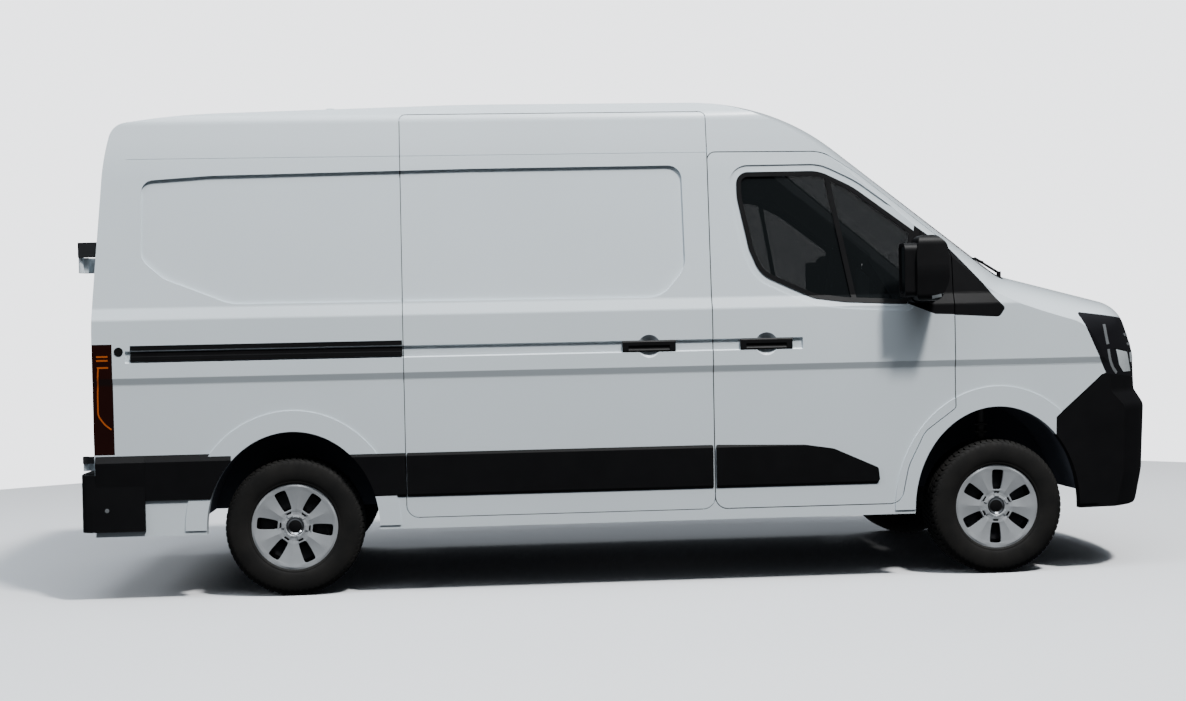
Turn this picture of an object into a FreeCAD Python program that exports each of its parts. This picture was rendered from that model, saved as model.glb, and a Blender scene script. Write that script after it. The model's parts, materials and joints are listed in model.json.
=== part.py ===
import FreeCAD, Part
import math
import os

# Panel van with a sliding side door, two rear doors and a closed load space.
# Millimetres. +X is forward, +Y is the left side, +Z is up. The origin is on the
# ground, under the middle of the bounding box.

V = FreeCAD.Vector

# Driving dimensions of the whole van
LENGTH = 5685.0
WIDTH = 2080.0
HEIGHT = 2500.0
WHEELBASE = 3585.0
REAR_OVERHANG = 1090.0
TRACK_FRONT = 1750.0
TRACK_REAR = 1730.0

REAR_AXLE = -LENGTH / 2 + REAR_OVERHANG
FRONT_AXLE = REAR_AXLE + WHEELBASE
FRONT_END = LENGTH / 2 - FRONT_AXLE
HALF_WIDTH = WIDTH / 2
FAR = 4000.0

# Walls and clearances
WALL = 60.0
SHELL_X = 48.0
SHELL_Z = 34.0
REAR_WALL = 62.0
GAP = 5.0
FIT = 0.3
REST = 2.0
SEAM = 4.0
SEAM_DEEP = 14.0
RUN_GAP = 8.0


def behind(x):
    """x measured forward from the rear axle."""
    return REAR_AXLE + x


def ahead(x):
    """x measured forward from the front axle."""
    return FRONT_AXLE + x


def on_xz(y):
    return lambda u, v: V(u, y, v)


def on_yz(x):
    return lambda u, v: V(x, u, v)


def on_xy(z):
    return lambda u, v: V(u, v, z)


def corner_arc(before, corner, after):
    """Start, middle and end of the arc that rounds one corner, or None."""
    u, v, radius = corner
    back = V(before[0] - u, before[1] - v, 0).normalize()
    on = V(after[0] - u, after[1] - v, 0).normalize()
    turn = math.pi - back.getAngle(on)
    if radius <= 0 or turn < 1e-4:
        return None
    point = V(u, v, 0)
    reach = radius * math.tan(turn / 2)
    middle = (back + on).normalize() * (radius / math.cos(turn / 2) - radius)
    return point + back * reach, point + middle, point + on * reach


def outline(corners, place):
    """Closed wire through corners (u, v, radius), each rounded by its radius."""
    count = len(corners)
    arcs = [corner_arc(corners[i - 1], corners[i], corners[(i + 1) % count]) for i in range(count)]
    edges = []
    for i in range(count):
        if arcs[i]:
            edges.append(Part.Arc(*[place(p.x, p.y) for p in arcs[i]]).toShape())
            here = arcs[i][2]
        else:
            here = V(corners[i][0], corners[i][1], 0)
        j = (i + 1) % count
        there = arcs[j][0] if arcs[j] else V(corners[j][0], corners[j][1], 0)
        if (there - here).Length > 1e-6:
            edges.append(Part.LineSegment(place(here.x, here.y), place(there.x, there.y)).toShape())
    return Part.Wire(edges)


def prism(corners, place, direction, grow=0.0):
    """Solid made by moving the face of an outline, grown by an amount, along a direction."""
    face = Part.Face(outline(corners, place))
    if grow:
        face = face.makeOffset2D(grow)
    return face.extrude(direction)


def slab_y(corners, y0, y1, grow=0.0):
    return prism(corners, on_xz(y0), V(0, y1 - y0, 0), grow)


def slab_x(corners, x0, x1, grow=0.0):
    return prism(corners, on_yz(x0), V(x1 - x0, 0, 0), grow)


def slab_z(corners, z0, z1, grow=0.0):
    return prism(corners, on_xy(z0), V(0, 0, z1 - z0), grow)


def block(x0, x1, y0, y1, z0, z1):
    return Part.makeBox(x1 - x0, y1 - y0, z1 - z0, V(x0, y0, z0))


def rod(start, end, radius):
    """Cylinder from one point to another."""
    along = end - start
    return Part.makeCylinder(radius, along.Length, start, along)


def mirrored(shape):
    """The same shape on the other side of the van."""
    return shape.mirror(V(0, 0, 0), V(0, 1, 0))


def pair(shape):
    return [shape, mirrored(shape)]


def one(*shapes):
    return shapes[0].fuse(list(shapes[1:])).removeSplitter()


def moved(shape, x, y, z):
    copy = shape.copy()
    copy.translate(V(x, y, z))
    return copy


def two_sided(half):
    """A plan outline from its +Y half, the order kept."""
    return half + [(x, -y, r) for x, y, r in reversed(half)]


def side(corners):
    """Outline of the side view, x given from the rear axle."""
    return [(behind(x), z, radius) for x, z, radius in corners]


# The body's outer form: side views at several distances from the middle, joined
# by smooth surfaces, and held in by one section of the sides
ROOF_Z = HEIGHT
STATIONS = (0.0, 350.0, 600.0, 800.0, 950.0, 1090.0)
NOSE_BACK = (0.0, 22.0, 75.0, 165.0, 320.0, 560.0)
SCREEN_BACK = (0.0, 30.0, 88.0, 152.0, 215.0, 285.0)
REAR_IN = (0.0, 4.0, 12.0, 22.0, 34.0, 50.0)
ROOF_DROP = (0.0, 8.0, 22.0, 40.0, 58.0, 78.0)
BONNET_DROP = (0.0, 6.0, 22.0, 48.0, 84.0, 130.0)

BODY_BOTTOM = 300.0
SKIRT_Z = 325.0
REAR_FACE = -REAR_OVERHANG + 85.0
SCREEN_FOOT = 235.0
SCREEN_FOOT_Z = 1560.0


def silhouette(station, inset):
    """Corners of the side view of the body at one distance from the middle."""
    nose = NOSE_BACK[station] + inset["front"]
    screen = SCREEN_BACK[station] + inset["screen"]
    rear = REAR_IN[station] + inset["rear"]
    roof = ROOF_DROP[station] + inset["roof"]
    hood = BONNET_DROP[station] + inset["bonnet"]
    low = BODY_BOTTOM
    return [
        (behind(REAR_FACE + rear), low, 0),
        (behind(REAR_FACE + rear), 1400.0, 2500.0),
        (behind(REAR_FACE + rear + 70.0), 2200.0, 1200.0),
        (behind(REAR_FACE + rear + 115.0), ROOF_Z - 78.0 - roof, 95.0),
        (behind(-560.0), ROOF_Z - 32.0 - roof, 3500.0),
        (behind(900.0), ROOF_Z + 4.0 - roof, 9000.0),
        (ahead(-970.0 - screen), ROOF_Z + 2.0 - roof, 1150.0),
        (ahead(SCREEN_FOOT - screen), SCREEN_FOOT_Z - hood, 220.0),
        (ahead(880.0 - nose), 1385.0 - hood, 170.0),
        (ahead(952.0 - nose), 1130.0, 300.0),
        (ahead(958.0 - nose), 925.0, 40.0),
        (ahead(FRONT_END - nose), 845.0, 60.0),
        (ahead(FRONT_END - 18.0 - nose), 500.0, 200.0),
        (ahead(FRONT_END - 60.0 - nose), low, 60.0),
    ]


BROW = 6


def straightened(corners):
    """The same outline with straight sides; the long arc over the screen is three points."""
    plain = []
    for i, (u, v, radius) in enumerate(corners):
        if i == BROW:
            arc = corner_arc(corners[i - 1], corners[i], corners[i + 1])
            plain += [(p.x, p.y, 0) for p in arc]
        else:
            plain.append((u, v, 0))
    return plain


def insets(rear=0.0, front=0.0, screen=0.0, bonnet=0.0, roof=0.0):
    return dict(rear=rear, front=front, screen=screen, bonnet=bonnet, roof=roof)


def loft_across(inset, smooth=True):
    """The silhouettes joined across the van."""
    wires = []
    for sign, order in ((-1, range(len(STATIONS) - 1, 0, -1)), (1, range(len(STATIONS)))):
        for station in order:
            corners = silhouette(station, inset)
            if not smooth:
                corners = straightened(corners)
            wires.append(outline(corners, on_xz(sign * STATIONS[station])))
    return Part.makeLoft(wires, True, not smooth)


# Half widths of the body at each height
SHOULDER_LOW = 1072.0
SHOULDER_HIGH = 1106.0
BELT_TOP = 1392.0
SKIN_Y = HALF_WIDTH - 3.0
PANEL_LOW = 1450.0
DRIP_Z = 2190.0
SIDE = (
    (HALF_WIDTH - 30.0, BODY_BOTTOM, 0.0),
    (HALF_WIDTH - 14.0, SHOULDER_LOW, 30.0),
    (SKIN_Y, SHOULDER_HIGH, 12.0),
    (SKIN_Y, BELT_TOP, 30.0),
    (HALF_WIDTH - 26.0, PANEL_LOW, 40.0),
    (HALF_WIDTH - 92.0, DRIP_Z, 2500.0),
    (HALF_WIDTH - 125.0, 2388.0, 100.0),
    (HALF_WIDTH - 330.0, 2620.0, 0.0),
)
NARROW_AT = (-255.0, 60.0, 360.0, 640.0, 900.0, 1150.0)
NARROW_BY = (0.0, 5.0, 26.0, 66.0, 130.0, 220.0)


def side_section(x, narrow):
    half = [(w - narrow, z, r) for w, z, r in SIDE]
    left = [(-w, z, r) for w, z, r in reversed(half)]
    return outline(half + left, on_yz(x))


def side_form(out=0.0):
    """The sides of the body, moved outward by an amount."""
    rear = behind(-REAR_OVERHANG - 200.0)
    middle = Part.Face(side_section(rear, -out)).extrude(V(ahead(NARROW_AT[0]) - rear, 0, 0))
    sections = [side_section(ahead(x), n - out) for x, n in zip(NARROW_AT, NARROW_BY)]
    return middle.fuse(Part.makeLoft(sections, True, False))


def flares():
    """Raised lips round the wheel arches, right and left."""
    form = side_form(FLARE_OUT)
    lips = []
    for axle, size in ((behind(0), ARCH_REAR), (ahead(0), ARCH_FRONT)):
        lip = arch_cut(axle, size, -FAR, -HALF_WIDTH + WALL + 20.0, FLARE_W)
        lip = lip.cut(block(-FAR, FAR, -FAR, FAR, 0, SKIRT_Z + 20.0))
        lips += pair(lip.common(form))
    return lips


def hull():
    """The closed outer form of the body."""
    return loft_across(insets()).common(side_form()).fuse(flares())


def within(inset, x0=None, x1=None):
    """Straight-sided prism inside the body's side walls by an inset."""
    section = [(w - inset, z, 0) for w, z, r in SIDE]
    section = section + [(-w, z, 0) for w, z, r in reversed(section)]
    x0 = behind(-REAR_OVERHANG - 100.0) if x0 is None else x0
    x1 = FAR if x1 is None else x1
    return slab_x(section, x0, x1)


def inner_form(rear, front, roof, wall):
    """Hollow of the body with walls of given thickness."""
    form = loft_across(insets(rear, front, front, roof, roof), smooth=False)
    rear_in = behind(REAR_FACE + rear)
    take = wall - WALL
    plan = slab_z(two_sided([
        (rear_in, HALF_WIDTH, 0), (ahead(-270.0), HALF_WIDTH - take, 0),
        (ahead(380.0), HALF_WIDTH - 95.0 - take, 0), (ahead(700.0), HALF_WIDTH - 190.0 - take, 0),
        (ahead(880.0 + SHELL_X - front), HALF_WIDTH - 420.0 - take, 0),
    ]), 200, 3000)
    return form.common(within(wall, rear_in)).common(plan)


# Outlines of the side view, x from the rear axle
SLIDE_FRONT = 2116.0
SLIDE_REAR = 562.0
DOOR_FRONT = 3361.0
DOOR_BOTTOM = 381.0
SLIDE_TOP = 2402.0
SEAM_Z = 1012.0
BONNET_Z = 1292.0

SLIDE_DOOR = (
    (SLIDE_REAR, DOOR_BOTTOM, 60.0), (SLIDE_FRONT - GAP / 2, DOOR_BOTTOM, 60.0),
    (SLIDE_FRONT - GAP / 2, SLIDE_TOP, 30.0), (SLIDE_REAR, SLIDE_TOP, 30.0),
)
FRONT_DOOR = (
    (SLIDE_FRONT + GAP / 2, DOOR_BOTTOM, 60.0), (3072.0, DOOR_BOTTOM, 70.0),
    (3112.0, 570.0, 200.0), (3200.0, 745.0, 120.0), (DOOR_FRONT, 862.0, 20.0),
    (DOOR_FRONT, 1722.0, 40.0), (2905.0, 2085.0, 500.0), (2700.0, 2186.0, 200.0),
    (SLIDE_FRONT + GAP / 2, DRIP_Z, 40.0),
)
WINDOW = (
    (2262.0, 2086.0, 60.0), (2262.0, 1960.0, 300.0), (2316.0, 1690.0, 60.0),
    (2370.0, 1560.0, 150.0), (2640.0, 1436.0, 200.0), (2800.0, 1414.0, 400.0),
    (3120.0, 1398.0, 12.0), (3172.0, 1772.0, 12.0), (2862.0, 2004.0, 500.0),
    (2690.0, 2088.0, 200.0),
)
DIVIDER = ((2706.0, 2110.0, 0), (2732.0, 2110.0, 0), (2868.0, 1390.0, 0), (2842.0, 1390.0, 0))
DOOR_SAIL = (
    (3124.0, 1398.0, 0), (3262.0, 1343.0, 10.0), (DOOR_FRONT + 30.0, 1338.0, 0),
    (DOOR_FRONT + 30.0, 1660.0, 0), (3318.0, 1704.0, 20.0), (3176.0, 1800.0, 0),
)
BODY_SAIL = (
    (DOOR_FRONT + GAP, 1336.0, 0), (3598.0, 1322.0, 30.0), (3630.0, 1368.0, 15.0),
    (3592.0, 1409.0, 30.0), (DOOR_FRONT + GAP, 1690.0, 0),
)
RECESS = (
    (-721.0, 1690.0, 90.0), (-716.0, 2082.0, 60.0), (-380.0, 2104.0, 300.0), (900.0, 2122.0, 900.0),
    (1982.0, 2126.0, 70.0), (1988.0, 1600.0, 150.0), (1862.0, 1455.0, 140.0),
    (-285.0, 1462.0, 200.0), (-610.0, 1592.0, 150.0),
)
LAMP_SIDE = (
    (4030.0, 1340.0, 12.0), (4180.0, SEAM_Z + 4.0, 10.0), (4700.0, 962.0, 0),
    (4900.0, 1292.0, 0), (4470.0, 1296.0, 60.0), (4290.0, 1312.0, 60.0),
)
BUMPER_SIDE = (
    (3885.0, 200.0, 0), (3898.0, 800.0, 0), (3924.0, 822.0, 30.0), (4152.0, SEAM_Z, 10.0),
    (4184.0, SEAM_Z + 12.0, 0), (4700.0, 985.0, 0), (4900.0, 985.0, 0), (4900.0, 200.0, 0),
)
WING_SIDE = (
    (DOOR_FRONT - 1.0, 840.0, 0), (DOOR_FRONT - 1.0, 1700.0, 0), (3547.0, 1551.0, 0),
    (3612.0, 1640.0, 0), (3760.0, 1600.0, 0), (4900.0, 1600.0, 0), (4900.0, 900.0, 0),
    (4060.0, 900.0, 0), (3890.0, 700.0, 0), (3600.0, 700.0, 0), (3420.0, 840.0, 0),
)

# Slots of the grille and of the bumper's lower intake
GRILLE_Z = (1026.0, 1070.0, 1114.0, 1158.0, 1202.0, 1246.0)
GRILLE_Y = 480.0
GRILLE_H = 26.0
INTAKE_Z = (590.0, 650.0, 710.0)
INTAKE_Y = 430.0
INTAKE_H = 40.0

# Plan and end outlines
LAMP_IN = 545.0
BONNET = two_sided([
    (ahead(1300.0), 560.0, 0), (behind(4300.0), 640.0, 200.0), (behind(4050.0), 735.0, 300.0),
    (behind(3722.0), 700.0, 25.0), (behind(3764.0), 600.0, 300.0), (behind(3822.0), 350.0, 500.0),
    (behind(3850.0), 120.0, 700.0),
])
COWL_Y = 700.0
SCREEN_SLOPE = 39.5
SCREEN = [
    (-742.0, 150.0, 50.0), (-590.0, 100.0, 500.0), (-330.0, 60.0, 700.0), (330.0, 60.0, 700.0),
    (590.0, 100.0, 500.0), (742.0, 150.0, 50.0), (660.0, 1278.0, 90.0), (-660.0, 1278.0, 90.0),
]
REAR_EDGE = HALF_WIDTH - 105.0
REAR_TOP = 2330.0
REAR_LOW = 645.0
REAR_FRAME_Y = REAR_EDGE + 12.0
REAR_LEAN = 88.0
REAR_DOOR = (
    (-REAR_EDGE, REAR_LOW, 30.0), (-GAP / 2, REAR_LOW, 0), (-GAP / 2, REAR_TOP, 0),
    (-REAR_EDGE + REAR_LEAN, REAR_TOP, 60.0), (-REAR_EDGE + 4.0, 1450.0, 0),
)
REAR_OPENING = (
    (-REAR_EDGE, REAR_LOW, 35.0), (REAR_EDGE, REAR_LOW, 35.0),
    (REAR_EDGE - 4.0, 1450.0, 0), (REAR_EDGE - REAR_LEAN, REAR_TOP, 65.0),
    (-REAR_EDGE + REAR_LEAN, REAR_TOP, 65.0), (-REAR_EDGE + 4.0, 1450.0, 0),
)
TAIL_LOW = 730.0
TAIL_HIGH = 1275.0
TAIL_FRONT = -863.0
ROOF_SEAM_Z = 2425.0
HEADER_Y = 600.0
RACK_X = 1000.0
RACK_LONG = 1600.0
RACK_WIDE = 1300.0
RACK_Z = 2470.0
RACK_BOSS = 22.0
RACK_HOLE = 4.0
RACK_DEEP = 18.0
PANE = 6.0
PANE_DEEP = 8.0
RECESS_DEEP = 12.0
WINDOW_RIM = 36.0
RIM_DEEP = 5.0
HANDLE_SLIDE = (1657.0, 1926.0)
HANDLE_DOOR = (2256.0, 2522.0)
CUP_R = 82.0
CUP_OUT = 58.0
RIB_Y = (-480.0, -240.0, 0.0, 240.0, 480.0)
RIB_W = 90.0
RIB_X = (-820.0, 2180.0)
RIB_DEEP = 6.0
PANEL_DEEP = 7.0
REAR_PANEL = (
    (-REAR_EDGE + 95.0, 1180.0, 50.0), (-70.0, 1180.0, 50.0), (-70.0, 2210.0, 60.0),
    (-REAR_EDGE + 160.0, 2210.0, 80.0), (-REAR_EDGE + 95.0, 1500.0, 300.0),
)
CHANNEL_LOW = 1180.0
CHANNEL_HIGH = 1240.0
CHANNEL_DEEP = 10.0


def rear_wall_zone(depth, y, low=0.0):
    """Everything behind a plane that follows the rear face at a depth."""
    x = behind(REAR_FACE + depth)
    return slab_y([
        (behind(REAR_FACE - 100.0), low, 0), (x, low, 0), (x, 1400.0, 2500.0), (x + 72.0, 2200.0, 1200.0),
        (x + 119.0, ROOF_SEAM_Z, 0), (behind(REAR_FACE - 100.0), ROOF_SEAM_Z, 0),
    ], -y, y)


def screen_slab(corners, depth_in, depth_out, grow=0.0):
    """Prism square to the windscreen; corners are (y, distance up the slope, radius)."""
    lean = math.radians(SCREEN_SLOPE)
    foot = V(ahead(SCREEN_FOOT), 0, SCREEN_FOOT_Z)
    along = V(-math.cos(lean), 0, math.sin(lean))
    normal = V(math.sin(lean), 0, math.cos(lean))
    base = foot - normal * depth_in
    return prism(corners, lambda u, v: base + V(0, u, 0) + along * v, normal * (depth_in + depth_out), grow)


# Wheels
TYRE_R = 345.0
TYRE_W = 225.0
RIM_R = 206.0
RIM_W = 190.0
HUB_Z = TYRE_R
FRONT_Y = TRACK_FRONT / 2
REAR_Y = TRACK_REAR / 2
DISC_IN = 30.0
DISC_T = 14.0
SPOKES = 6
HUB_R = 48.0
SPINDLE_R = 32.0
BRAKE_R = 150.0
COVER_R = 220.0
SLOT_FRONT = 27.0
SLOT_REAR = -7.0

ARCH_FRONT = (438.0, 518.0)
ARCH_REAR = (426.0, 479.0)
ARCH_DEEP = 560.0
FLARE_W = 104.0
FLARE_OUT = 5.0
HOUSE_IN = 690.0
HOUSE_T = 16.0
LINER_Z = 420.0
KINGPIN_Y = 790.0


def arch_cut(axle, size, y0, y1, grow=0.0):
    """Half-oval wheel arch, open below the hub."""
    half_length, rise = size[0] + grow, size[1] + grow
    ellipse = Part.Ellipse(V(0, 0, 0), rise, half_length)
    wire = Part.Wire([ellipse.toShape()])
    wire.rotate(V(0, 0, 0), V(0, 0, 1), 90)
    wire.rotate(V(0, 0, 0), V(1, 0, 0), 90)
    wire.translate(V(axle, y0, HUB_Z))
    opening = Part.Face(wire).extrude(V(0, y1 - y0, 0))
    return opening.fuse(block(axle - half_length, axle + half_length, y0, y1, 0, HUB_Z))


PARTS = {}


def add(name, *shapes):
    PARTS[name] = shapes[0] if len(shapes) == 1 else Part.makeCompound(list(shapes))


def both(name, *shapes):
    """Right-hand shapes and their mirror images as two nodes."""
    add(name + "_right", *shapes)
    add(name + "_left", *[mirrored(s) for s in shapes])


def body_shell(outer, cavity):
    """The hollow body with its arches, belt channel, side recesses and creases."""
    shell = outer.cut(block(-FAR, FAR, -FAR, FAR, 0, SKIRT_Z)).cut(cavity)
    for axle, size, deep in ((behind(0), ARCH_REAR, HOUSE_IN), (ahead(0), ARCH_FRONT, ARCH_DEEP)):
        for y0, y1 in ((-FAR, -deep), (deep, FAR)):
            shell = shell.cut(arch_cut(axle, size, y0, y1))
    drip_y = -(HALF_WIDTH - 92.0)
    drip = [(drip_y - 9.0, DRIP_Z + 7.0, 0), (drip_y - 9.0, DRIP_Z - 5.0, 0), (drip_y + 5.0, DRIP_Z + 1.0, 0)]
    panel = slab_x(REAR_PANEL, behind(REAR_FACE) - 60.0, behind(REAR_FACE) + 260.0)
    tools = [
        belt_channel(),
        slab_y(side(RECESS), -FAR, -600.0).cut(within(RECESS_DEEP)),
        slab_x(drip, behind(-790.0), behind(SLIDE_FRONT)),
        cup(*HANDLE_DOOR),
        slab_y(side(WINDOW), -FAR, -600.0, WINDOW_RIM).cut(within(RIM_DEEP)),
        panel.cut(moved(outer, PANEL_DEEP, 0, 0)),
    ]
    for tool in tools:
        shell = shell.cut(tool).cut(mirrored(tool))
    ribs = [slab_z([
        (behind(RIB_X[0]), y - RIB_W / 2, RIB_W / 3), (behind(RIB_X[1]), y - RIB_W / 2, RIB_W / 3),
        (behind(RIB_X[1]), y + RIB_W / 2, RIB_W / 3), (behind(RIB_X[0]), y + RIB_W / 2, RIB_W / 3),
    ], ROOF_SEAM_Z, ROOF_Z + 20.0) for y in RIB_Y]
    ribs = Part.makeCompound(ribs).cut(moved(outer, 0, 0, -RIB_DEEP))
    return shell.cut(cup(*HANDLE_SLIDE)).cut(ribs)


def belt_channel():
    """Shallow channel along the belt of the right side."""
    return slab_x([
        (-SKIN_Y - 20.0, CHANNEL_LOW - 8.0, 0), (-SKIN_Y, CHANNEL_LOW, 0),
        (-SKIN_Y + CHANNEL_DEEP, CHANNEL_LOW + 6.0, 0), (-SKIN_Y + CHANNEL_DEEP, CHANNEL_HIGH - 6.0, 0),
        (-SKIN_Y, CHANNEL_HIGH, 0), (-SKIN_Y - 20.0, CHANNEL_HIGH + 8.0, 0),
    ], behind(-800.0), behind(2575.0))


def cup(x0, x1):
    """Round hollow behind the middle of a handle."""
    middle = V(behind((x0 + x1) / 2), -SKIN_Y - CUP_OUT, (CHANNEL_LOW + CHANNEL_HIGH) / 2)
    return Part.makeSphere(CUP_R, middle)


def slot_x(reach, z, height):
    """Level slot with round ends, right through the nose."""
    half = height / 2
    return slab_x([
        (-reach, z - half, half - 1), (reach, z - half, half - 1), (reach, z + half, half - 1),
        (-reach, z + half, half - 1),
    ], ahead(450.0), FAR)


def rack_holes(roof):
    """Flat fixing points with a threaded hole each, for a roof rack."""
    for x in (RACK_X - RACK_LONG / 2, RACK_X + RACK_LONG / 2):
        for y in (-RACK_WIDE / 2, RACK_WIDE / 2):
            boss = Part.makeCylinder(RACK_BOSS, 20.0, V(behind(x), y, RACK_Z - 20.0))
            above = Part.makeCylinder(RACK_BOSS + 4.0, 60.0, V(behind(x), y, RACK_Z))
            hole = Part.makeCylinder(RACK_HOLE, RACK_DEEP, V(behind(x), y, RACK_Z - RACK_DEEP))
            roof = roof.fuse(boss).cut(above).cut(hole)
    return roof.removeSplitter()


# Rim and its cover
RIM_T = 8.0
FLANGE = 14.0
COVER_Y = RIM_W / 2 - 2.0
COVER_T = 7.0
SPINDLE_END = 62.0

# Floor, cab and what stands in it
FLOOR_Z = 600.0
FLOOR_T = 40.0
UNDER_Z = FLOOR_Z - FLOOR_T
BOARD_T = 9.0
BOARD_EDGE = 12.0
FIREWALL_X = -255.0
FIREWALL_T = 25.0
FIREWALL_TOP = 1440.0
BULKHEAD_X = 2054.0
BULKHEAD_T = 20.0
BEAD_Z = (760.0, 940.0, 1120.0, 1300.0)
DASH_X = WHEELBASE + FIREWALL_X
DASH_Y = 925.0
DRIVER_Y = 450.0
COLUMN_X = 2810.0
COLUMN_Z = 1265.0
COLUMN_LEAN = 28.0
WHEEL_R = 192.0
SHAFT_R = 12.0
RADIATOR_X = 4270.0
RADIATOR_Y = 340.0
SLAM_Z = 1268.0
STOP_Y = 420.0

# Chassis and suspension
RAIL_Y = 400.0
RAIL_W = 80.0
RAIL_H = 90.0
RAIL_REAR = -925.0
RAIL_FRONT = 4330.0
CROSS_X = (-900.0, 450.0, 1450.0, 2450.0, 3250.0, 4240.0)
CROSS_W = 80.0
TOW_X = -740.0
TOW_LONG = 160.0
TOW_WIDE = 880.0
TOW_HOLE_R = 6.5
TOW_DEEP = 60.0
ARM_Z = (245.0, 275.0)
ARM_END = 20.0
PIN_R = 12.0
PIN_TOP = 318.0
CARRIER_R = 55.0
STRUT_Y = 722.0
STRUT_R = 24.0
STRUT_TOP = 836.0
SPRING_AT = (600.0, 640.0, 680.0, 720.0, 760.0)
ENGINE_TOP = 1030.0
AXLE_R = 42.0
DRUM_R = 140.0
LEAF_Y = 590.0
LEAF_W = 60.0
LEAF_FRONT = 650.0
LEAF_REAR = -700.0
EYE_Z = 478.0
TANK_LOW = 372.0

# Rear door hinges and wipers
HINGE_X = -REAR_OVERHANG + 85.0 - 15.0
HINGE_Y = REAR_EDGE + 4.0
HINGE_R = 13.0
HINGE_PIN = 6.0
HINGE_Z = ((650.0, 722.0), (1632.0, 1782.0))
BLADE_UP = 150.0
PIVOT_UP = 42.0
BOSS_R = 12.0

# Door seals, frames and side strips
SEAL_W = 24.0
SEAL_PROUD = 1.0
RING_OUT = 40.0
RING_IN = 38.0
RING_T = 38.0
STRIP_PROUD = 12.0
STRIP_LOW = 484.0
STRIP_HIGH = 704.0
MIRROR_Y = (-1088.0, -1236.0)
REAR_STRIP_LOW = 500.0
REAR_STRIP_HIGH = 730.0
BUMPER_FRONT = -721.0
WING_REAR = -958.0
BUMPER_LOW = 350.0
BUMPER_HIGH = 632.0
RAIL_Z = (1188.0, 1266.0)
RAIL_X = (-775.0, 555.0)


def strip(corners, outer):
    """Black plastic strip that stands proud of the side inside an outline."""
    zone = slab_y(side(corners), -FAR, -600.0)
    lean = slab_x([
        (-HALF_WIDTH + 30.0 - STRIP_PROUD, STRIP_LOW + 14.0, 0), (-HALF_WIDTH + 20.0 - STRIP_PROUD, 690.0, 0),
        (-HALF_WIDTH + 24.0, 731.0, 0), (-HALF_WIDTH + 80.0, 731.0, 0), (-HALF_WIDTH + 80.0, 470.0, 0),
        (-HALF_WIDTH + 30.0, 470.0, 0),
    ], behind(-1100.0), behind(3200.0))
    return zone.common(lean).cut(outer)


def side_trim(outer):
    """Rail of the sliding door, rubbing strips and the handle of the sliding door."""
    arch = arch_cut(behind(0), ARCH_REAR, -FAR, FAR, 0.0)
    front = SLIDE_FRONT - 8.0
    rear = strip([
        (BUMPER_FRONT + FIT, REAR_STRIP_LOW, 0), (-300.0, REAR_STRIP_LOW, 0),
        (-300.0, REAR_STRIP_HIGH, 0), (BUMPER_FRONT + FIT, REAR_STRIP_HIGH, 0),
    ], outer).cut(arch)
    middle = strip([
        (200.0, STRIP_LOW, 0), (SLIDE_REAR - 4.0, STRIP_LOW, 0),
        (SLIDE_REAR - 4.0, STRIP_HIGH, 0), (200.0, STRIP_HIGH, 0),
    ], outer).cut(arch)
    slide = strip([
        (SLIDE_REAR + 3.0, STRIP_LOW, 8), (front, STRIP_LOW, 8), (front, STRIP_HIGH, 8),
        (SLIDE_REAR + 3.0, STRIP_HIGH, 8),
    ], outer)
    long_left = strip([
        (200.0, STRIP_LOW, 0), (front, STRIP_LOW, 8), (front, STRIP_HIGH, 8), (200.0, STRIP_HIGH, 0),
    ], outer).cut(arch)
    skin = -SKIN_Y
    middle_form = Part.Face(side_section(behind(-REAR_OVERHANG), 0.0)).extrude(V(WHEELBASE, 0, 0))
    rail = slab_x([
        (skin - 2.0, RAIL_Z[1], 0), (skin - 2.0, RAIL_Z[1] - 22.0, 0), (skin + 6.0, RAIL_Z[1] - 26.0, 0),
        (skin + 6.0, RAIL_Z[0] + 26.0, 0), (skin - 2.0, RAIL_Z[0] + 22.0, 0), (skin - 2.0, RAIL_Z[0], 0),
        (skin + 1.0, RAIL_Z[0], 0), (skin + CHANNEL_DEEP, CHANNEL_LOW + 8.0, 0),
        (skin + CHANNEL_DEEP, CHANNEL_HIGH - 7.0, 0), (skin + 1.0, CHANNEL_HIGH + 1.0, 0),
        (skin + 1.0, RAIL_Z[1], 0),
    ], behind(RAIL_X[0]), behind(RAIL_X[1])).cut(middle_form.cut(belt_channel()))
    cap = Part.makeCylinder(22.0, 12.0, V(behind(-831.0), skin - 2.0, 1238.0), V(0, 1, 0)).cut(outer)
    grip = handle(*HANDLE_SLIDE)
    add("side_cladding", rear, middle, slide, rail, cap, grip, mirrored(rear), mirrored(long_left))


def handle(x0, x1):
    """Pull handle seated in the belt channel."""
    skin = -SKIN_Y
    seat = slab_x([
        (skin + CHANNEL_DEEP, CHANNEL_LOW + 8.0, 0), (skin + 1.0, CHANNEL_LOW + 2.0, 0),
        (skin - 3.0, CHANNEL_LOW + 8.0, 0), (skin - 3.0, CHANNEL_HIGH - 8.0, 0),
        (skin + 1.0, CHANNEL_HIGH - 2.0, 0), (skin + CHANNEL_DEEP, CHANNEL_HIGH - 8.0, 0),
    ], behind(x0), behind(x1))
    start = V(behind(x0 + 30.0), skin - 13.0, CHANNEL_LOW + 22.0)
    groove = Part.makeCylinder(16.0, x1 - x0 - 60.0, start, V(1, 0, 0))
    return seat.cut(groove)


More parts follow.
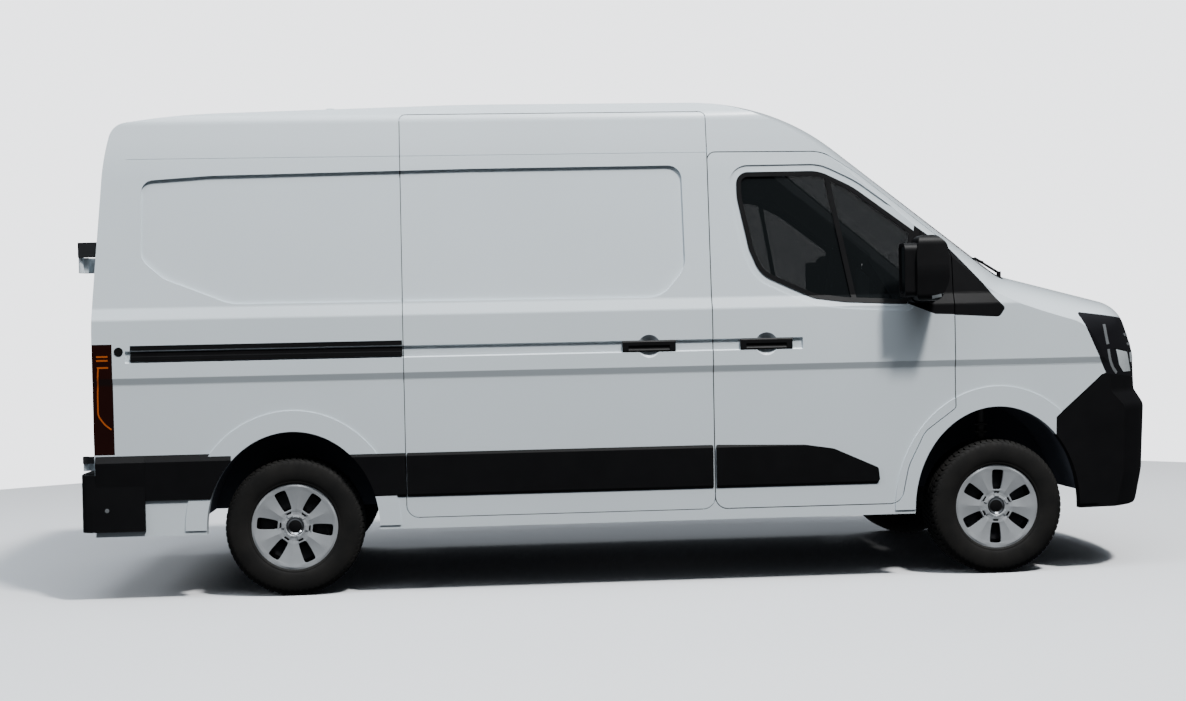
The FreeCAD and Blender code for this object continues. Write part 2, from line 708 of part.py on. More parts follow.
def door_fittings(outer, door_sail, seal):
    """Mirror on its arm, handle, strip and window seal of the right front door."""
    step = strip([
        (SLIDE_FRONT + 8.0, STRIP_LOW, 8), (2948.0, STRIP_LOW, 10), (2963.0, 506.0, 6), (2957.0, 567.0, 20),
        (2727.0, 670.0, 60), (2578.0, 693.0, 80), (SLIDE_FRONT + 8.0, STRIP_HIGH, 8),
    ], outer)
    grip = handle(*HANDLE_DOOR)
    arm = slab_y(side([
        (3110.0, 1405.0, 20), (3240.0, 1400.0, 20), (3268.0, 1500.0, 20), (3150.0, 1520.0, 20),
    ]), MIRROR_Y[0] - 30.0, -HALF_WIDTH + 12.0).cut(outer)
    head = slab_x([
        (MIRROR_Y[0], 1412.0, 26), (MIRROR_Y[1] + 14.0, 1405.0, 40), (MIRROR_Y[1], 1560.0, 400),
        (MIRROR_Y[1] + 8.0, 1739.0, 50), (MIRROR_Y[0] + 4.0, 1739.0, 36),
    ], behind(3080.0), behind(3285.0))
    shape = slab_y(side([
        (3120.0, 1410.0, 30), (3235.0, 1404.0, 45), (3284.0, 1500.0, 150), (3278.0, 1690.0, 60),
        (3225.0, 1742.0, 50), (3136.0, 1738.0, 40), (3118.0, 1640.0, 200),
    ]), MIRROR_Y[1] - 5.0, MIRROR_Y[0] + 5.0)
    head = head.common(shape)
    rear_part = slab_x([
        (MIRROR_Y[0] - 6.0, 1432.0, 20), (MIRROR_Y[1] + 22.0, 1428.0, 30), (MIRROR_Y[1] + 16.0, 1700.0, 40),
        (MIRROR_Y[0] - 4.0, 1700.0, 30),
    ], behind(3062.0), behind(3160.0))
    glass_hole = slab_x([
        (MIRROR_Y[0] - 18.0, 1446.0, 12), (MIRROR_Y[1] + 34.0, 1442.0, 20), (MIRROR_Y[1] + 30.0, 1686.0, 26),
        (MIRROR_Y[0] - 16.0, 1686.0, 20),
    ], behind(3050.0), behind(3070.0))
    head = one(head, rear_part, arm).cut(glass_hole)
    return [step, grip, one(door_sail, head), seal]


def rear_bumper():
    """Bumper under the rear doors, its ends carried round to the rubbing strips."""
    corner = HALF_WIDTH - 14.0
    plan = two_sided([
        (behind(BUMPER_FRONT), corner, 0), (behind(-REAR_OVERHANG + 62.0), corner, 60.0),
        (behind(-REAR_OVERHANG + 10.0), 640.0, 700.0), (behind(-REAR_OVERHANG), 250.0, 500.0),
    ])
    profile = slab_y([
        (behind(-REAR_OVERHANG + 20.0), BUMPER_LOW, 0), (behind(-REAR_OVERHANG - 6.0), 430.0, 60.0),
        (behind(-REAR_OVERHANG - 6.0), 560.0, 60.0), (behind(-REAR_OVERHANG + 34.0), BUMPER_HIGH, 20.0),
        (behind(BUMPER_FRONT) + 1, BUMPER_HIGH, 0), (behind(BUMPER_FRONT) + 1, BUMPER_LOW, 0),
    ], -FAR, FAR)
    bar = slab_z(plan, BUMPER_LOW - 10, BUMPER_HIGH + 10).common(profile)
    wing = slab_x([
        (-HALF_WIDTH + 18.0, REAR_STRIP_LOW + 14.0, 0), (-HALF_WIDTH + 6.0, 690.0, 0),
        (-HALF_WIDTH + 24.0, REAR_STRIP_HIGH, 0), (-HALF_WIDTH + 80.0, REAR_STRIP_HIGH, 0),
        (-HALF_WIDTH + 80.0, REAR_STRIP_LOW, 0), (-HALF_WIDTH + 28.0, REAR_STRIP_LOW, 0),
    ], behind(WING_REAR), behind(BUMPER_FRONT))
    face = [(behind(REAR_FACE + dip) - REST, y, 0) for y, dip in zip(STATIONS, REAR_IN)]
    face[1] = (face[0][0], face[1][1], 0)
    back = two_sided([(0, STATIONS[-1], 0)] + face[:0:-1])
    body = slab_z(back, SKIRT_Z, BUMPER_HIGH + 200.0).common(within(0.0))
    add("rear_bumper", one(bar, wing, mirrored(wing)).cut(body))


def floor_and_houses(cavity, rear_ring, room):
    """Floor pan, load floor, firewall, wheelhouses and bulkhead."""
    start = behind(REAR_FACE + REAR_WALL) + 12.0
    floor = cavity.common(block(start, ahead(FIREWALL_X), -FAR, FAR, UNDER_Z, FLOOR_Z)).cut(rear_ring)
    wall = block(ahead(FIREWALL_X), ahead(FIREWALL_X + FIREWALL_T), -FAR, FAR, UNDER_Z, FIREWALL_TOP)
    firewall = cavity.common(wall)
    cab_side = block(behind(SLIDE_FRONT - RING_OUT), FAR, -FAR, FAR, 0, FAR).cut(room)
    floor = floor.cut(cab_side)
    firewall = firewall.cut(cab_side)
    board = within(WALL + BOARD_EDGE).common(
        block(start + 70.0, behind(BULKHEAD_X - GAP), -FAR, FAR, FLOOR_Z, FLOOR_Z + BOARD_T))
    houses = []
    for axle, size, deep in ((behind(0), ARCH_REAR, HOUSE_IN), (ahead(0), ARCH_FRONT, ARCH_DEEP)):
        wide = arch_cut(axle, size, -FAR, -deep + HOUSE_T, HOUSE_T)
        open_space = arch_cut(axle, size, -FAR, -deep)
        house = cavity.common(wide).cut(open_space).cut(block(-FAR, FAR, -FAR, FAR, 0, LINER_Z))
        houses += pair(house)
        clear = arch_cut(axle, size, -FAR, -deep + HOUSE_T + BOARD_EDGE, HOUSE_T + BOARD_EDGE)
        board = board.cut(clear).cut(mirrored(clear))
        floor = floor.cut(wide).cut(mirrored(wide))
        firewall = firewall.cut(wide).cut(mirrored(wide))
    add("floor_pan", floor)
    add("load_floor", board)
    add("firewall", firewall)
    add("wheelhouses", *houses)
    face = behind(BULKHEAD_X + BULKHEAD_T)
    bulkhead = cavity.common(block(behind(BULKHEAD_X), face, -FAR, FAR, FLOOR_Z, FAR))
    for z in BEAD_Z:
        bulkhead = bulkhead.cut(block(face - 6, face + 1, -700, 700, z, z + 60))
    add("bulkhead", bulkhead)


def dashboard(room):
    """Dashboard with its binnacle and steering column, and the steering wheel."""
    dash = slab_y(side([
        (DASH_X, 860.0, 0), (DASH_X, 1322.0, 0), (DASH_X - 170.0, 1352.0, 80), (DASH_X - 400.0, 1300.0, 60),
        (DASH_X - 430.0, 1180.0, 60), (DASH_X - 330.0, 1010.0, 120), (DASH_X - 300.0, 860.0, 40),
    ]), -DASH_Y, DASH_Y).common(room)
    console = slab_y(side([
        (DASH_X, FLOOR_Z, 0), (DASH_X, 900.0, 0), (DASH_X - 400.0, 1150.0, 30), (DASH_X - 424.0, 1060.0, 30),
        (DASH_X - 330.0, 900.0, 80), (DASH_X - 300.0, FLOOR_Z, 0),
    ]), -150.0, 150.0)
    binnacle = slab_y(side([
        (DASH_X - 190.0, 1300.0, 0), (DASH_X - 220.0, 1402.0, 50), (DASH_X - 360.0, 1396.0, 30),
        (DASH_X - 390.0, 1280.0, 20),
    ]), DRIVER_Y - 190.0, DRIVER_Y + 190.0)
    lean = math.radians(COLUMN_LEAN)
    along = V(-math.cos(lean), 0, math.sin(lean))
    at = V(behind(COLUMN_X), DRIVER_Y, COLUMN_Z)
    column = rod(at - along * 342.0, at - along * 12.0, 34.0)
    shaft = rod(at - along * 20.0, at + along * 24.7, SHAFT_R)
    add("dashboard", one(dash, console, binnacle, column, shaft))

    boss = Part.makeCylinder(46.0, 40.0, at - along * 4.0, along)
    pad = Part.makeCylinder(78.0, 80.0, at + along * 20.0, along)
    pad = pad.common(Part.makeSphere(120.0, at - along * 66.0))
    grip = Part.makeTorus(WHEEL_R, 15.0, at + along * 30.0, along)
    spokes = []
    for angle in (90.0, 210.0, 330.0):
        spoke = Part.makeBox(30.0, WHEEL_R - 6, 12.0, V(-15.0, 0, 24.0))
        spoke.rotate(V(0, 0, 0), V(0, 0, 1), angle)
        spoke.rotate(V(0, 0, 0), V(0, 1, 0), COLUMN_LEAN - 90.0)
        spoke.translate(at)
        spokes.append(spoke)
    bore = rod(at - along * 10.0, at + along * (24.7 + FIT), SHAFT_R + FIT)
    add("steering_wheel", one(boss, pad, grip, *spokes).cut(bore))


def seat(y0, y1, places):
    """Seat on its box, with one backrest and headrest for each place."""
    box = slab_y(side([
        (2290.0, FLOOR_Z, 0), (2300.0, 890.0, 20), (2700.0, 905.0, 20), (2680.0, FLOOR_Z, 0),
    ]), y0 + 30, y1 - 30)
    cushion = slab_y(side([
        (2270.0, 880.0, 30), (2280.0, 1010.0, 60), (2500.0, 1030.0, 300), (2760.0, 1062.0, 60),
        (2790.0, 990.0, 50), (2740.0, 890.0, 30),
    ]), y0, y1)
    pieces = [box, cushion]
    width = (y1 - y0) / places
    for i in range(places):
        a, b = y0 + width * i + 12.0, y0 + width * (i + 1) - 12.0
        back = slab_x([
            (a + 20, 960.0, 20), (a, 1100.0, 60), (a + 18, 1500.0, 70), (a + 90, 1600.0, 60),
            (b - 90, 1600.0, 60), (b - 18, 1500.0, 70), (b, 1100.0, 60), (b - 20, 960.0, 20),
        ], behind(2100.0), behind(2440.0))
        form = slab_y(side([
            (2262.0, 950.0, 20), (2190.0, 1250.0, 300), (2146.0, 1590.0, 30), (2196.0, 1606.0, 30),
            (2262.0, 1560.0, 80), (2306.0, 1280.0, 200), (2392.0, 1020.0, 60), (2380.0, 950.0, 10),
        ]), a, b)
        middle = (a + b) / 2
        head = slab_y(side([
            (2132.0, 1660.0, 25), (2120.0, 1800.0, 40), (2196.0, 1806.0, 40), (2226.0, 1700.0, 60),
            (2214.0, 1656.0, 25),
        ]), middle - 130, middle + 130)
        crown = slab_x([
            (middle - 130, 1640.0, 30), (middle - 112, 1820.0, 50), (middle + 112, 1820.0, 50),
            (middle + 130, 1640.0, 30),
        ], behind(2100.0), behind(2300.0))
        posts = [rod(V(behind(2180.0), middle + s, 1580.0), V(behind(2170.0), middle + s, 1680.0), 7.0)
                 for s in (-60, 60)]
        pieces += [back.common(form), head.common(crown)] + posts
    return one(*pieces)


def seats():
    add("seats", seat(DRIVER_Y - 260.0, DRIVER_Y + 260.0, 1), seat(-820.0, 60.0, 2))


def radiator(bonnet):
    """Radiator on the front cross member, with the slam panel and the bonnet's stops."""
    core = block(behind(RADIATOR_X), behind(RADIATOR_X + 40), -RADIATOR_Y, RADIATOR_Y, UNDER_Z + 30, 1060.0)
    posts = [block(behind(RADIATOR_X), behind(RADIATOR_X + 44), y, y + 40, UNDER_Z, SLAM_Z)
             for y in (-RADIATOR_Y - 30, RADIATOR_Y - 10)]
    slam = block(behind(RADIATOR_X - 10), behind(RADIATOR_X + 50), -540.0, 540.0, SLAM_Z - 30, SLAM_Z)
    stops = []
    for y in (-STOP_Y, STOP_Y):
        post = rod(V(behind(RADIATOR_X + 20), y, SLAM_Z - 10), V(behind(RADIATOR_X + 20), y, 1600.0), 16.0)
        cut = post.cut(moved(bonnet, 0, 0, -FIT))
        stops.append(min(cut.Solids, key=lambda s: s.CenterOfMass.z))
    add("radiator", one(core, slam, *(posts + stops)))


def wipers(outer):
    """Two parked wipers: spindle, arm and blade."""
    shapes = []
    lean = math.radians(SCREEN_SLOPE)
    normal = V(math.sin(lean), 0, math.cos(lean))

    def on_glass(y, up, proud):
        """Point over the windscreen at a distance from the middle and up its slope."""
        foot = V(ahead(SCREEN_FOOT), y, SCREEN_FOOT_Z)
        start = foot + V(-math.cos(lean), 0, math.sin(lean)) * up - normal * 260.0
        line = Part.LineSegment(start, start + normal * 520.0).toShape()
        inside = outer.common(line)
        top = max((v.Point for v in inside.Vertexes), key=lambda p: p.dot(normal))
        return top + normal * proud

    for pivot_y, tip_y, mid_y in ((-560.0, -10.0, -300.0), (40.0, 610.0, 330.0)):
        points = [on_glass(y, BLADE_UP, 13.0) for y in (tip_y, mid_y, pivot_y + 40.0)]
        blade = [rod(a, b, 6.5) for a, b in zip(points, points[1:])]
        joint = Part.makeSphere(6.5, points[1])
        base = on_glass(pivot_y, PIVOT_UP, 0.0)
        boss = rod(base - V(0, 0, 60), base + V(0, 0, 26), BOSS_R).cut(outer)
        boss = max(boss.Solids, key=lambda s: s.CenterOfMass.z)
        arm = rod(base + V(0, 0, 18), points[1] + normal * 4.0, 7.0)
        shapes.append(one(boss, arm, joint, *blade).cut(outer))
    return shapes


def hinge_parts(outer):
    """Rear door hinges of the right side: leaf and pin on the door, ring on the body."""
    door_parts, body_parts = [], []
    x, y = behind(HINGE_X), -HINGE_Y
    for z0, z1 in HINGE_Z:
        middle = (z0 + z1) / 2
        knuckle = Part.makeCylinder(HINGE_R, middle - z0, V(x, y, z0), V(0, 0, 1))
        pin = Part.makeCylinder(HINGE_PIN, z1 - z0 - 2, V(x, y, z0), V(0, 0, 1))
        leaf_door = slab_z([
            (x - HINGE_R, y, 0), (x - HINGE_R, y + 26, 12), (x + 22, y + 74, 20), (x + 78, y + 74, 0),
            (x + 78, y + 42, 0), (x + 35, y + 42, 6), (x + 35, y, 0),
        ], z0, middle)
        sleeve = Part.makeCylinder(HINGE_R, z1 - middle - 1, V(x, y, middle + 1), V(0, 0, 1))
        leaf_body = slab_z([
            (x - HINGE_R, y, 0), (x - HINGE_R, y - 22, 10), (x + 110, y - 40, 0), (x + 110, y - 14, 0),
            (x + 12, y - 9, 6), (x + 4, y + 4, 0),
        ], middle + 1, z1)
        ring_body = one(sleeve, leaf_body.cut(outer)).cut(
            Part.makeCylinder(HINGE_PIN + FIT, z1 - z0 + 2, V(x, y, z0 - 1), V(0, 0, 1)))
        body_parts.append(max(ring_body.Solids, key=lambda s: s.Volume))
        door_parts += [knuckle, pin, leaf_door]
    return door_parts, body_parts


def ring(radius, bore, y0, y1):
    """Disc or ring about the wheel's own axis."""
    disc = Part.makeCylinder(radius, y1 - y0, V(0, y0, 0), V(0, 1, 0))
    if bore <= 0:
        return disc
    return disc.cut(Part.makeCylinder(bore, y1 - y0 + 2, V(0, y0 - 1, 0), V(0, 1, 0)))


def turned(corners, grow=0.0):
    """Solid turned about the wheel's axis; corners are (radius, y, corner radius)."""
    face = Part.Face(outline(corners, lambda u, v: V(0, v, u)))
    if grow:
        face = face.makeOffset2D(grow)
    return face.revolve(V(0, 0, 0), V(0, 1, 0), 360)


def tyre(grow=0.0):
    """Tyre with crowned shoulders; its bead lies between the rim's flanges."""
    half = TYRE_W / 2
    return turned([
        (RIM_R, -half + 22, 0), (RIM_R + 60, -half, 60), (TYRE_R - 50, -half + 6, 40),
        (TYRE_R, -half + 28, 20), (TYRE_R, half - 28, 20), (TYRE_R - 50, half - 6, 40),
        (RIM_R + 60, half, 60), (RIM_R, half - 22, 0),
    ], grow)


def rim(turn):
    """Steel wheel with its six-spoke cover, outer face toward +Y."""
    half = RIM_W / 2
    low = RIM_R - RIM_T
    barrel = turned([
        (RIM_R + FLANGE, -half - 2, 3), (RIM_R + FLANGE, -half + 6, 0), (RIM_R - FIT, -half + 6, 0),
        (RIM_R - FIT, half - 6, 0), (RIM_R + FLANGE, half - 6, 0), (RIM_R + FLANGE, half + 2, 3),
        (low, half + 2, 0), (low, 10, 0), (low - 18, -2, 0), (low - 18, -49, 0), (low, -61, 0),
        (low, -half - 2, 0),
    ])
    disc = turned([
        (0, DISC_IN, 0), (HUB_R + 46, DISC_IN, 12), (HUB_R + 70, DISC_IN + 16, 14),
        (low - 30, DISC_IN + 16, 10), (low + 1, DISC_IN - 4, 0), (low + 1, DISC_IN - 4 + DISC_T, 0),
        (low - 26, DISC_IN + 16 + DISC_T, 10), (HUB_R + 64, DISC_IN + 16 + DISC_T, 14),
        (HUB_R + 40, DISC_IN + DISC_T, 12), (0, DISC_IN + DISC_T, 0),
    ])
    cover = turned([
        (0, COVER_Y - 12, 0), (42, COVER_Y - 12, 6), (46, COVER_Y - 6, 6), (72, COVER_Y - 8, 30),
        (140, COVER_Y - 4, 200), (RIM_R - 16, COVER_Y, 6), (RIM_R - 12, COVER_Y + 4, 4),
        (RIM_R + 6, COVER_Y + 8, 6),
        (COVER_R, COVER_Y + 5, 2), (COVER_R, COVER_Y - 2, 2), (RIM_R - 2, COVER_Y - 2, 0),
        (RIM_R - 14, COVER_Y - COVER_T, 0), (140, COVER_Y - 4 - COVER_T, 200),
        (72, COVER_Y - 8 - COVER_T, 30),
        (46, COVER_Y - 20, 0), (0, COVER_Y - 20, 0),
    ])
    for i in range(SPOKES):
        angle = 360.0 / SPOKES * i
        slot = slab_y([
            (106, -22, 14), (172, -37, 30), (201, -30, 14), (201, 30, 14), (172, 37, 30), (106, 22, 14),
        ], COVER_Y - 40, COVER_Y + 40)
        slot.rotate(V(0, 0, 0), V(0, 1, 0), -turn - angle)
        cover = cover.cut(slot)
        ridge = slab_x([
            (-7, COVER_Y - 14, 0), (-2.5, COVER_Y - 1, 1), (2.5, COVER_Y - 1, 1), (7, COVER_Y - 14, 0),
        ], 58, RIM_R - 20)
        ridge.rotate(V(0, 0, 0), V(1, 0, 0), 90)
        ridge = ridge.mirror(V(0, 0, 0), V(0, 1, 0)) if ridge.BoundBox.YMax < 0 else ridge
        ridge.rotate(V(0, 0, 0), V(0, 1, 0), -turn - angle - 180.0 / SPOKES)
        cover = cover.fuse(ridge)
        vent = Part.makeCylinder(17.0, 80.0, V(152, 0, 0), V(0, 1, 0))
        vent.rotate(V(0, 0, 0), V(0, 1, 0), -turn - angle)
        disc = disc.cut(vent)
    hub = ring(HUB_R, 0, DISC_IN, COVER_Y - 16)
    bore = ring(SPINDLE_R + FIT, 0, DISC_IN - 1, SPINDLE_END + FIT)
    return one(barrel, disc, cover, hub).cut(bore).cut(tyre(FIT))


def wheels():
    """Four tyres and four wheels; the slots stand as in the parked van."""
    axles = (("front", ahead(0), FRONT_Y, SLOT_FRONT), ("rear", behind(0), REAR_Y, SLOT_REAR))
    for axle, x, y, turn in axles:
        rubber, metal = tyre(), rim(turn)
        for hand, sign in (("left", 1), ("right", -1)):
            for kind, shape in (("tyre", rubber), ("rim", metal)):
                own = shape if sign > 0 else mirrored(shape)
                add("{}_{}_{}".format(kind, axle, hand), moved(own, x, sign * y, HUB_Z))


def chassis():
    """Long members under the floor with their cross members."""
    low = UNDER_Z - RAIL_H
    rails = [block(behind(RAIL_REAR), behind(RAIL_FRONT), RAIL_Y, RAIL_Y + RAIL_W, low, UNDER_Z)]
    rails.append(mirrored(rails[0]))
    members = []
    for x in CROSS_X:
        profile = [
            (behind(x), low + 20, 8), (behind(x), UNDER_Z, 0), (behind(x + CROSS_W), UNDER_Z, 0),
            (behind(x + CROSS_W), low + 20, 8),
        ]
        members.append(slab_y(profile, -RAIL_Y - 1, RAIL_Y + 1))
    frame = one(rails[0], rails[1], *members)
    for x in (TOW_X - TOW_LONG / 2, TOW_X + TOW_LONG / 2):
        for y in (-TOW_WIDE / 2, TOW_WIDE / 2):
            frame = frame.cut(Part.makeCylinder(TOW_HOLE_R, TOW_DEEP, V(behind(x), y, low), V(0, 0, 1)))
    add("chassis_rails", frame)


def front_suspension():
    """Subframe with its lower arms, the knuckles and their struts."""
    low = UNDER_Z - RAIL_H
    beam = slab_x([
        (-RAIL_Y - RAIL_W, low, 0), (-RAIL_Y - RAIL_W, ARM_Z[0] + 40, 30),
        (-300.0, ARM_Z[0], 60), (300.0, ARM_Z[0], 60),
        (RAIL_Y + RAIL_W, ARM_Z[0] + 40, 30), (RAIL_Y + RAIL_W, low, 0),
    ], ahead(-60.0), ahead(60.0))
    tray = block(ahead(-200.0), ahead(360.0), -300.0, 300.0, low - 60.0, low - 24.0)
    ties = [block(ahead(x), ahead(x + 60.0), -RAIL_Y - RAIL_W, RAIL_Y + RAIL_W, low - 60.0, low)
            for x in (-200.0, 300.0)]
    arm = slab_z([
        (ahead(-190.0), -RAIL_Y - 40, 20), (ahead(-190.0), -540.0, 20), (ahead(-24.0), -KINGPIN_Y + 30, 40),
        (ahead(-20.0), -KINGPIN_Y - ARM_END, ARM_END - 1), (ahead(20.0), -KINGPIN_Y - ARM_END, ARM_END - 1),
        (ahead(46.0), -540.0, 60), (ahead(46.0), -RAIL_Y - 40, 10),
    ], *ARM_Z)
    pin = Part.makeCylinder(PIN_R, PIN_TOP - ARM_Z[1] + 5, V(ahead(0), -KINGPIN_Y, ARM_Z[1] - 5), V(0, 0, 1))
    bush = block(ahead(-205.0), ahead(-175.0), -530.0, -RAIL_Y - 10, ARM_Z[0] - 5, low - 59.0)
    add("front_subframe", one(beam, tray, *(ties + pair(arm) + pair(pin) + pair(bush))))

    end = V(ahead(0), -FRONT_Y - DISC_IN + RUN_GAP, HUB_Z)
    carrier = rod(V(ahead(0), -KINGPIN_Y + 32, HUB_Z), end, CARRIER_R)
    disc = rod(V(ahead(0), -FRONT_Y + 15, HUB_Z), V(ahead(0), -FRONT_Y - 11, HUB_Z), BRAKE_R)
    caliper = slab_y([
        (ahead(-BRAKE_R - 10), HUB_Z - 60, 20), (ahead(-BRAKE_R - 10), HUB_Z + 60, 20),
        (ahead(-BRAKE_R + 50), HUB_Z + 60, 20), (ahead(-BRAKE_R + 50), HUB_Z - 60, 20),
    ], -FRONT_Y - 20, -FRONT_Y + 40)
    spindle = rod(V(ahead(0), -FRONT_Y - 10, HUB_Z), V(ahead(0), -FRONT_Y - SPINDLE_END, HUB_Z), SPINDLE_R)
    foot = slab_y([
        (ahead(-26.0), PIN_TOP - 22, 6), (ahead(-26.0), HUB_Z, 0),
        (ahead(26.0), HUB_Z, 0), (ahead(26.0), PIN_TOP - 22, 6),
    ], -KINGPIN_Y - 26, -STRUT_Y)
    strut = rod(V(ahead(0), -STRUT_Y, HUB_Z - 40), V(ahead(0), -STRUT_Y, STRUT_TOP), STRUT_R)
    spring = [Part.makeTorus(STRUT_R + 6.0, 7.0, V(ahead(0), -STRUT_Y, z), V(0, 0, 1)) for z in SPRING_AT]
    seat = Part.makeCylinder(STRUT_R + 14, 12.0, V(ahead(0), -STRUT_Y, SPRING_AT[0] - 16))
    bore = rod(V(ahead(0), -KINGPIN_Y, 0), V(ahead(0), -KINGPIN_Y, PIN_TOP + FIT), PIN_R + FIT)
    both("knuckle", one(carrier, disc, caliper, spindle, foot, strut, seat, *spring).cut(bore))


def leaf(front, rear, middle, thick, drop):
    """Side view of one leaf: an arc through its ends and its middle."""
    ends = [V(behind(x), 0, z) for x, z in (front, (0, middle), rear)]
    below = [p - V(0, 0, thick) for p in reversed(ends)]
    wire = Part.Wire([
        Part.Arc(*ends).toShape(), Part.LineSegment(ends[2], below[0]).toShape(),
        Part.Arc(*below).toShape(), Part.LineSegment(below[2], ends[0]).toShape(),
    ])
    face = Part.Face(wire)
    face.translate(V(0, -LEAF_Y - LEAF_W / 2, -drop))
    return face.extrude(V(0, LEAF_W, 0))


def rear_suspension():
    """Rigid axle on leaf springs, with drums, spindles and dampers."""
    y0, y1 = -LEAF_Y - LEAF_W / 2, -LEAF_Y + LEAF_W / 2
    tube = rod(V(behind(0), -REAR_Y + 80, HUB_Z), V(behind(0), REAR_Y - 80, HUB_Z), AXLE_R)
    bowl = Part.makeSphere(AXLE_R * 2.0, V(behind(0), 0, HUB_Z)).common(
        block(behind(-78), behind(78), -300, 300, 0, FAR))
    drum = rod(V(behind(0), -REAR_Y + 81, HUB_Z), V(behind(0), -REAR_Y - DISC_IN + RUN_GAP, HUB_Z), DRUM_R)
    spindle = rod(V(behind(0), -REAR_Y, HUB_Z), V(behind(0), -REAR_Y - SPINDLE_END, HUB_Z), SPINDLE_R)
    top = HUB_Z + AXLE_R
    main = leaf((LEAF_FRONT, EYE_Z + 8), (LEAF_REAR, EYE_Z + 8), top + 42, 14.0, 0.0)
    second = leaf((LEAF_FRONT * 0.66, top + 60), (LEAF_REAR * 0.66, top + 60), top + 42, 14.0, 13.0)
    third = leaf((LEAF_FRONT * 0.36, top + 47), (LEAF_REAR * 0.36, top + 47), top + 42, 14.0, 26.0)
    seat = block(behind(-70), behind(70), y0 + 1, y1 - 1, HUB_Z, top + 30)
    clamp = block(behind(-60), behind(60), y0 - 8, y1 + 8, top + 38, top + 56)
    hangers = []
    for x, lean in ((LEAF_FRONT, 0.0), (LEAF_REAR, 26.0)):
        eye = Part.makeCylinder(22.0, LEAF_W + 20, V(behind(x), y0 - 10, EYE_Z), V(0, 1, 0))
        hanger = slab_y(side([
            (x - 16.0, EYE_Z, 14.0), (x - 34.0 - lean, UNDER_Z, 0), (x + 34.0 - lean, UNDER_Z, 0),
            (x + 16.0, EYE_Z, 14.0),
        ]), y0 - 6, y1 + 6)
        hangers += [eye, hanger]
    foot = V(behind(230), -LEAF_Y + 70, UNDER_Z - 70)
    damper = rod(V(behind(30), -LEAF_Y + 70, top - 20), foot, 24.0)
    piston = rod(foot, V(behind(262), -LEAF_Y + 70, UNDER_Z - 40), 14.0)
    bracket = block(behind(240), behind(285), -LEAF_Y + 45, -LEAF_Y + 95, UNDER_Z - 50, UNDER_Z)
    half = one(drum, spindle, main, second, third, seat, clamp, damper, piston, bracket, *hangers)
    add("rear_axle", one(tube, bowl, *pair(half)))


def engine():
    """Engine and gearbox as one plain block on the subframe's tray."""
    low = UNDER_Z - RAIL_H
    add("engine", block(ahead(-120.0), ahead(280.0), -290.0, 290.0, low, ENGINE_TOP))


def exhaust():
    """Silencer and pipe, ahead of the rear axle, with the tail turned out to the side."""
    y, z, radius = -200.0, 420.0, 24.0
    front = V(behind(3250.0), y, z)
    last = V(behind(640.0), y, z)
    pipe = rod(last, front, radius)
    bend = 110.0
    middle = V(last.x - bend * math.sin(math.radians(45)), y - bend + bend * math.cos(math.radians(45)), z)
    arc = Part.Arc(last, middle, V(last.x - bend, y - bend, z)).toShape()
    section = Part.Wire([Part.Circle(last, V(1, 0, 0), radius).toShape()])
    elbow = Part.Wire([arc]).makePipeShell([section], True, False)
    tail = rod(V(last.x - bend, y - bend, z), V(last.x - bend, -RAIL_Y - RAIL_W - 30, z), radius)
    silencer = Part.makeCylinder(78.0, 640.0, V(behind(1580.0), y, z), V(1, 0, 0))
    silencer = silencer.fuse([Part.makeCylinder(50.0, 700.0, V(behind(1550.0), y, z), V(1, 0, 0))])
    straps = [block(behind(x), behind(x + 26.0), y - 14, y + 14, z, UNDER_Z) for x in (760.0, 1880.0, 2900.0)]
    add("exhaust", one(pipe, elbow, tail, silencer, *straps))


def fuel_tank():
    tank = slab_x([
        (-500.0, UNDER_Z, 0), (-860.0, UNDER_Z, 0), (-860.0, TANK_LOW + 60, 60), (-800.0, TANK_LOW, 60),
        (-540.0, TANK_LOW, 60), (-500.0, TANK_LOW + 40, 30),
    ], behind(800.0), behind(1900.0))
    add("fuel_tank", mirrored(tank))


def running_gear():
    wheels()
    chassis()
    front_suspension()
    rear_suspension()
    engine()
    exhaust()
    fuel_tank()


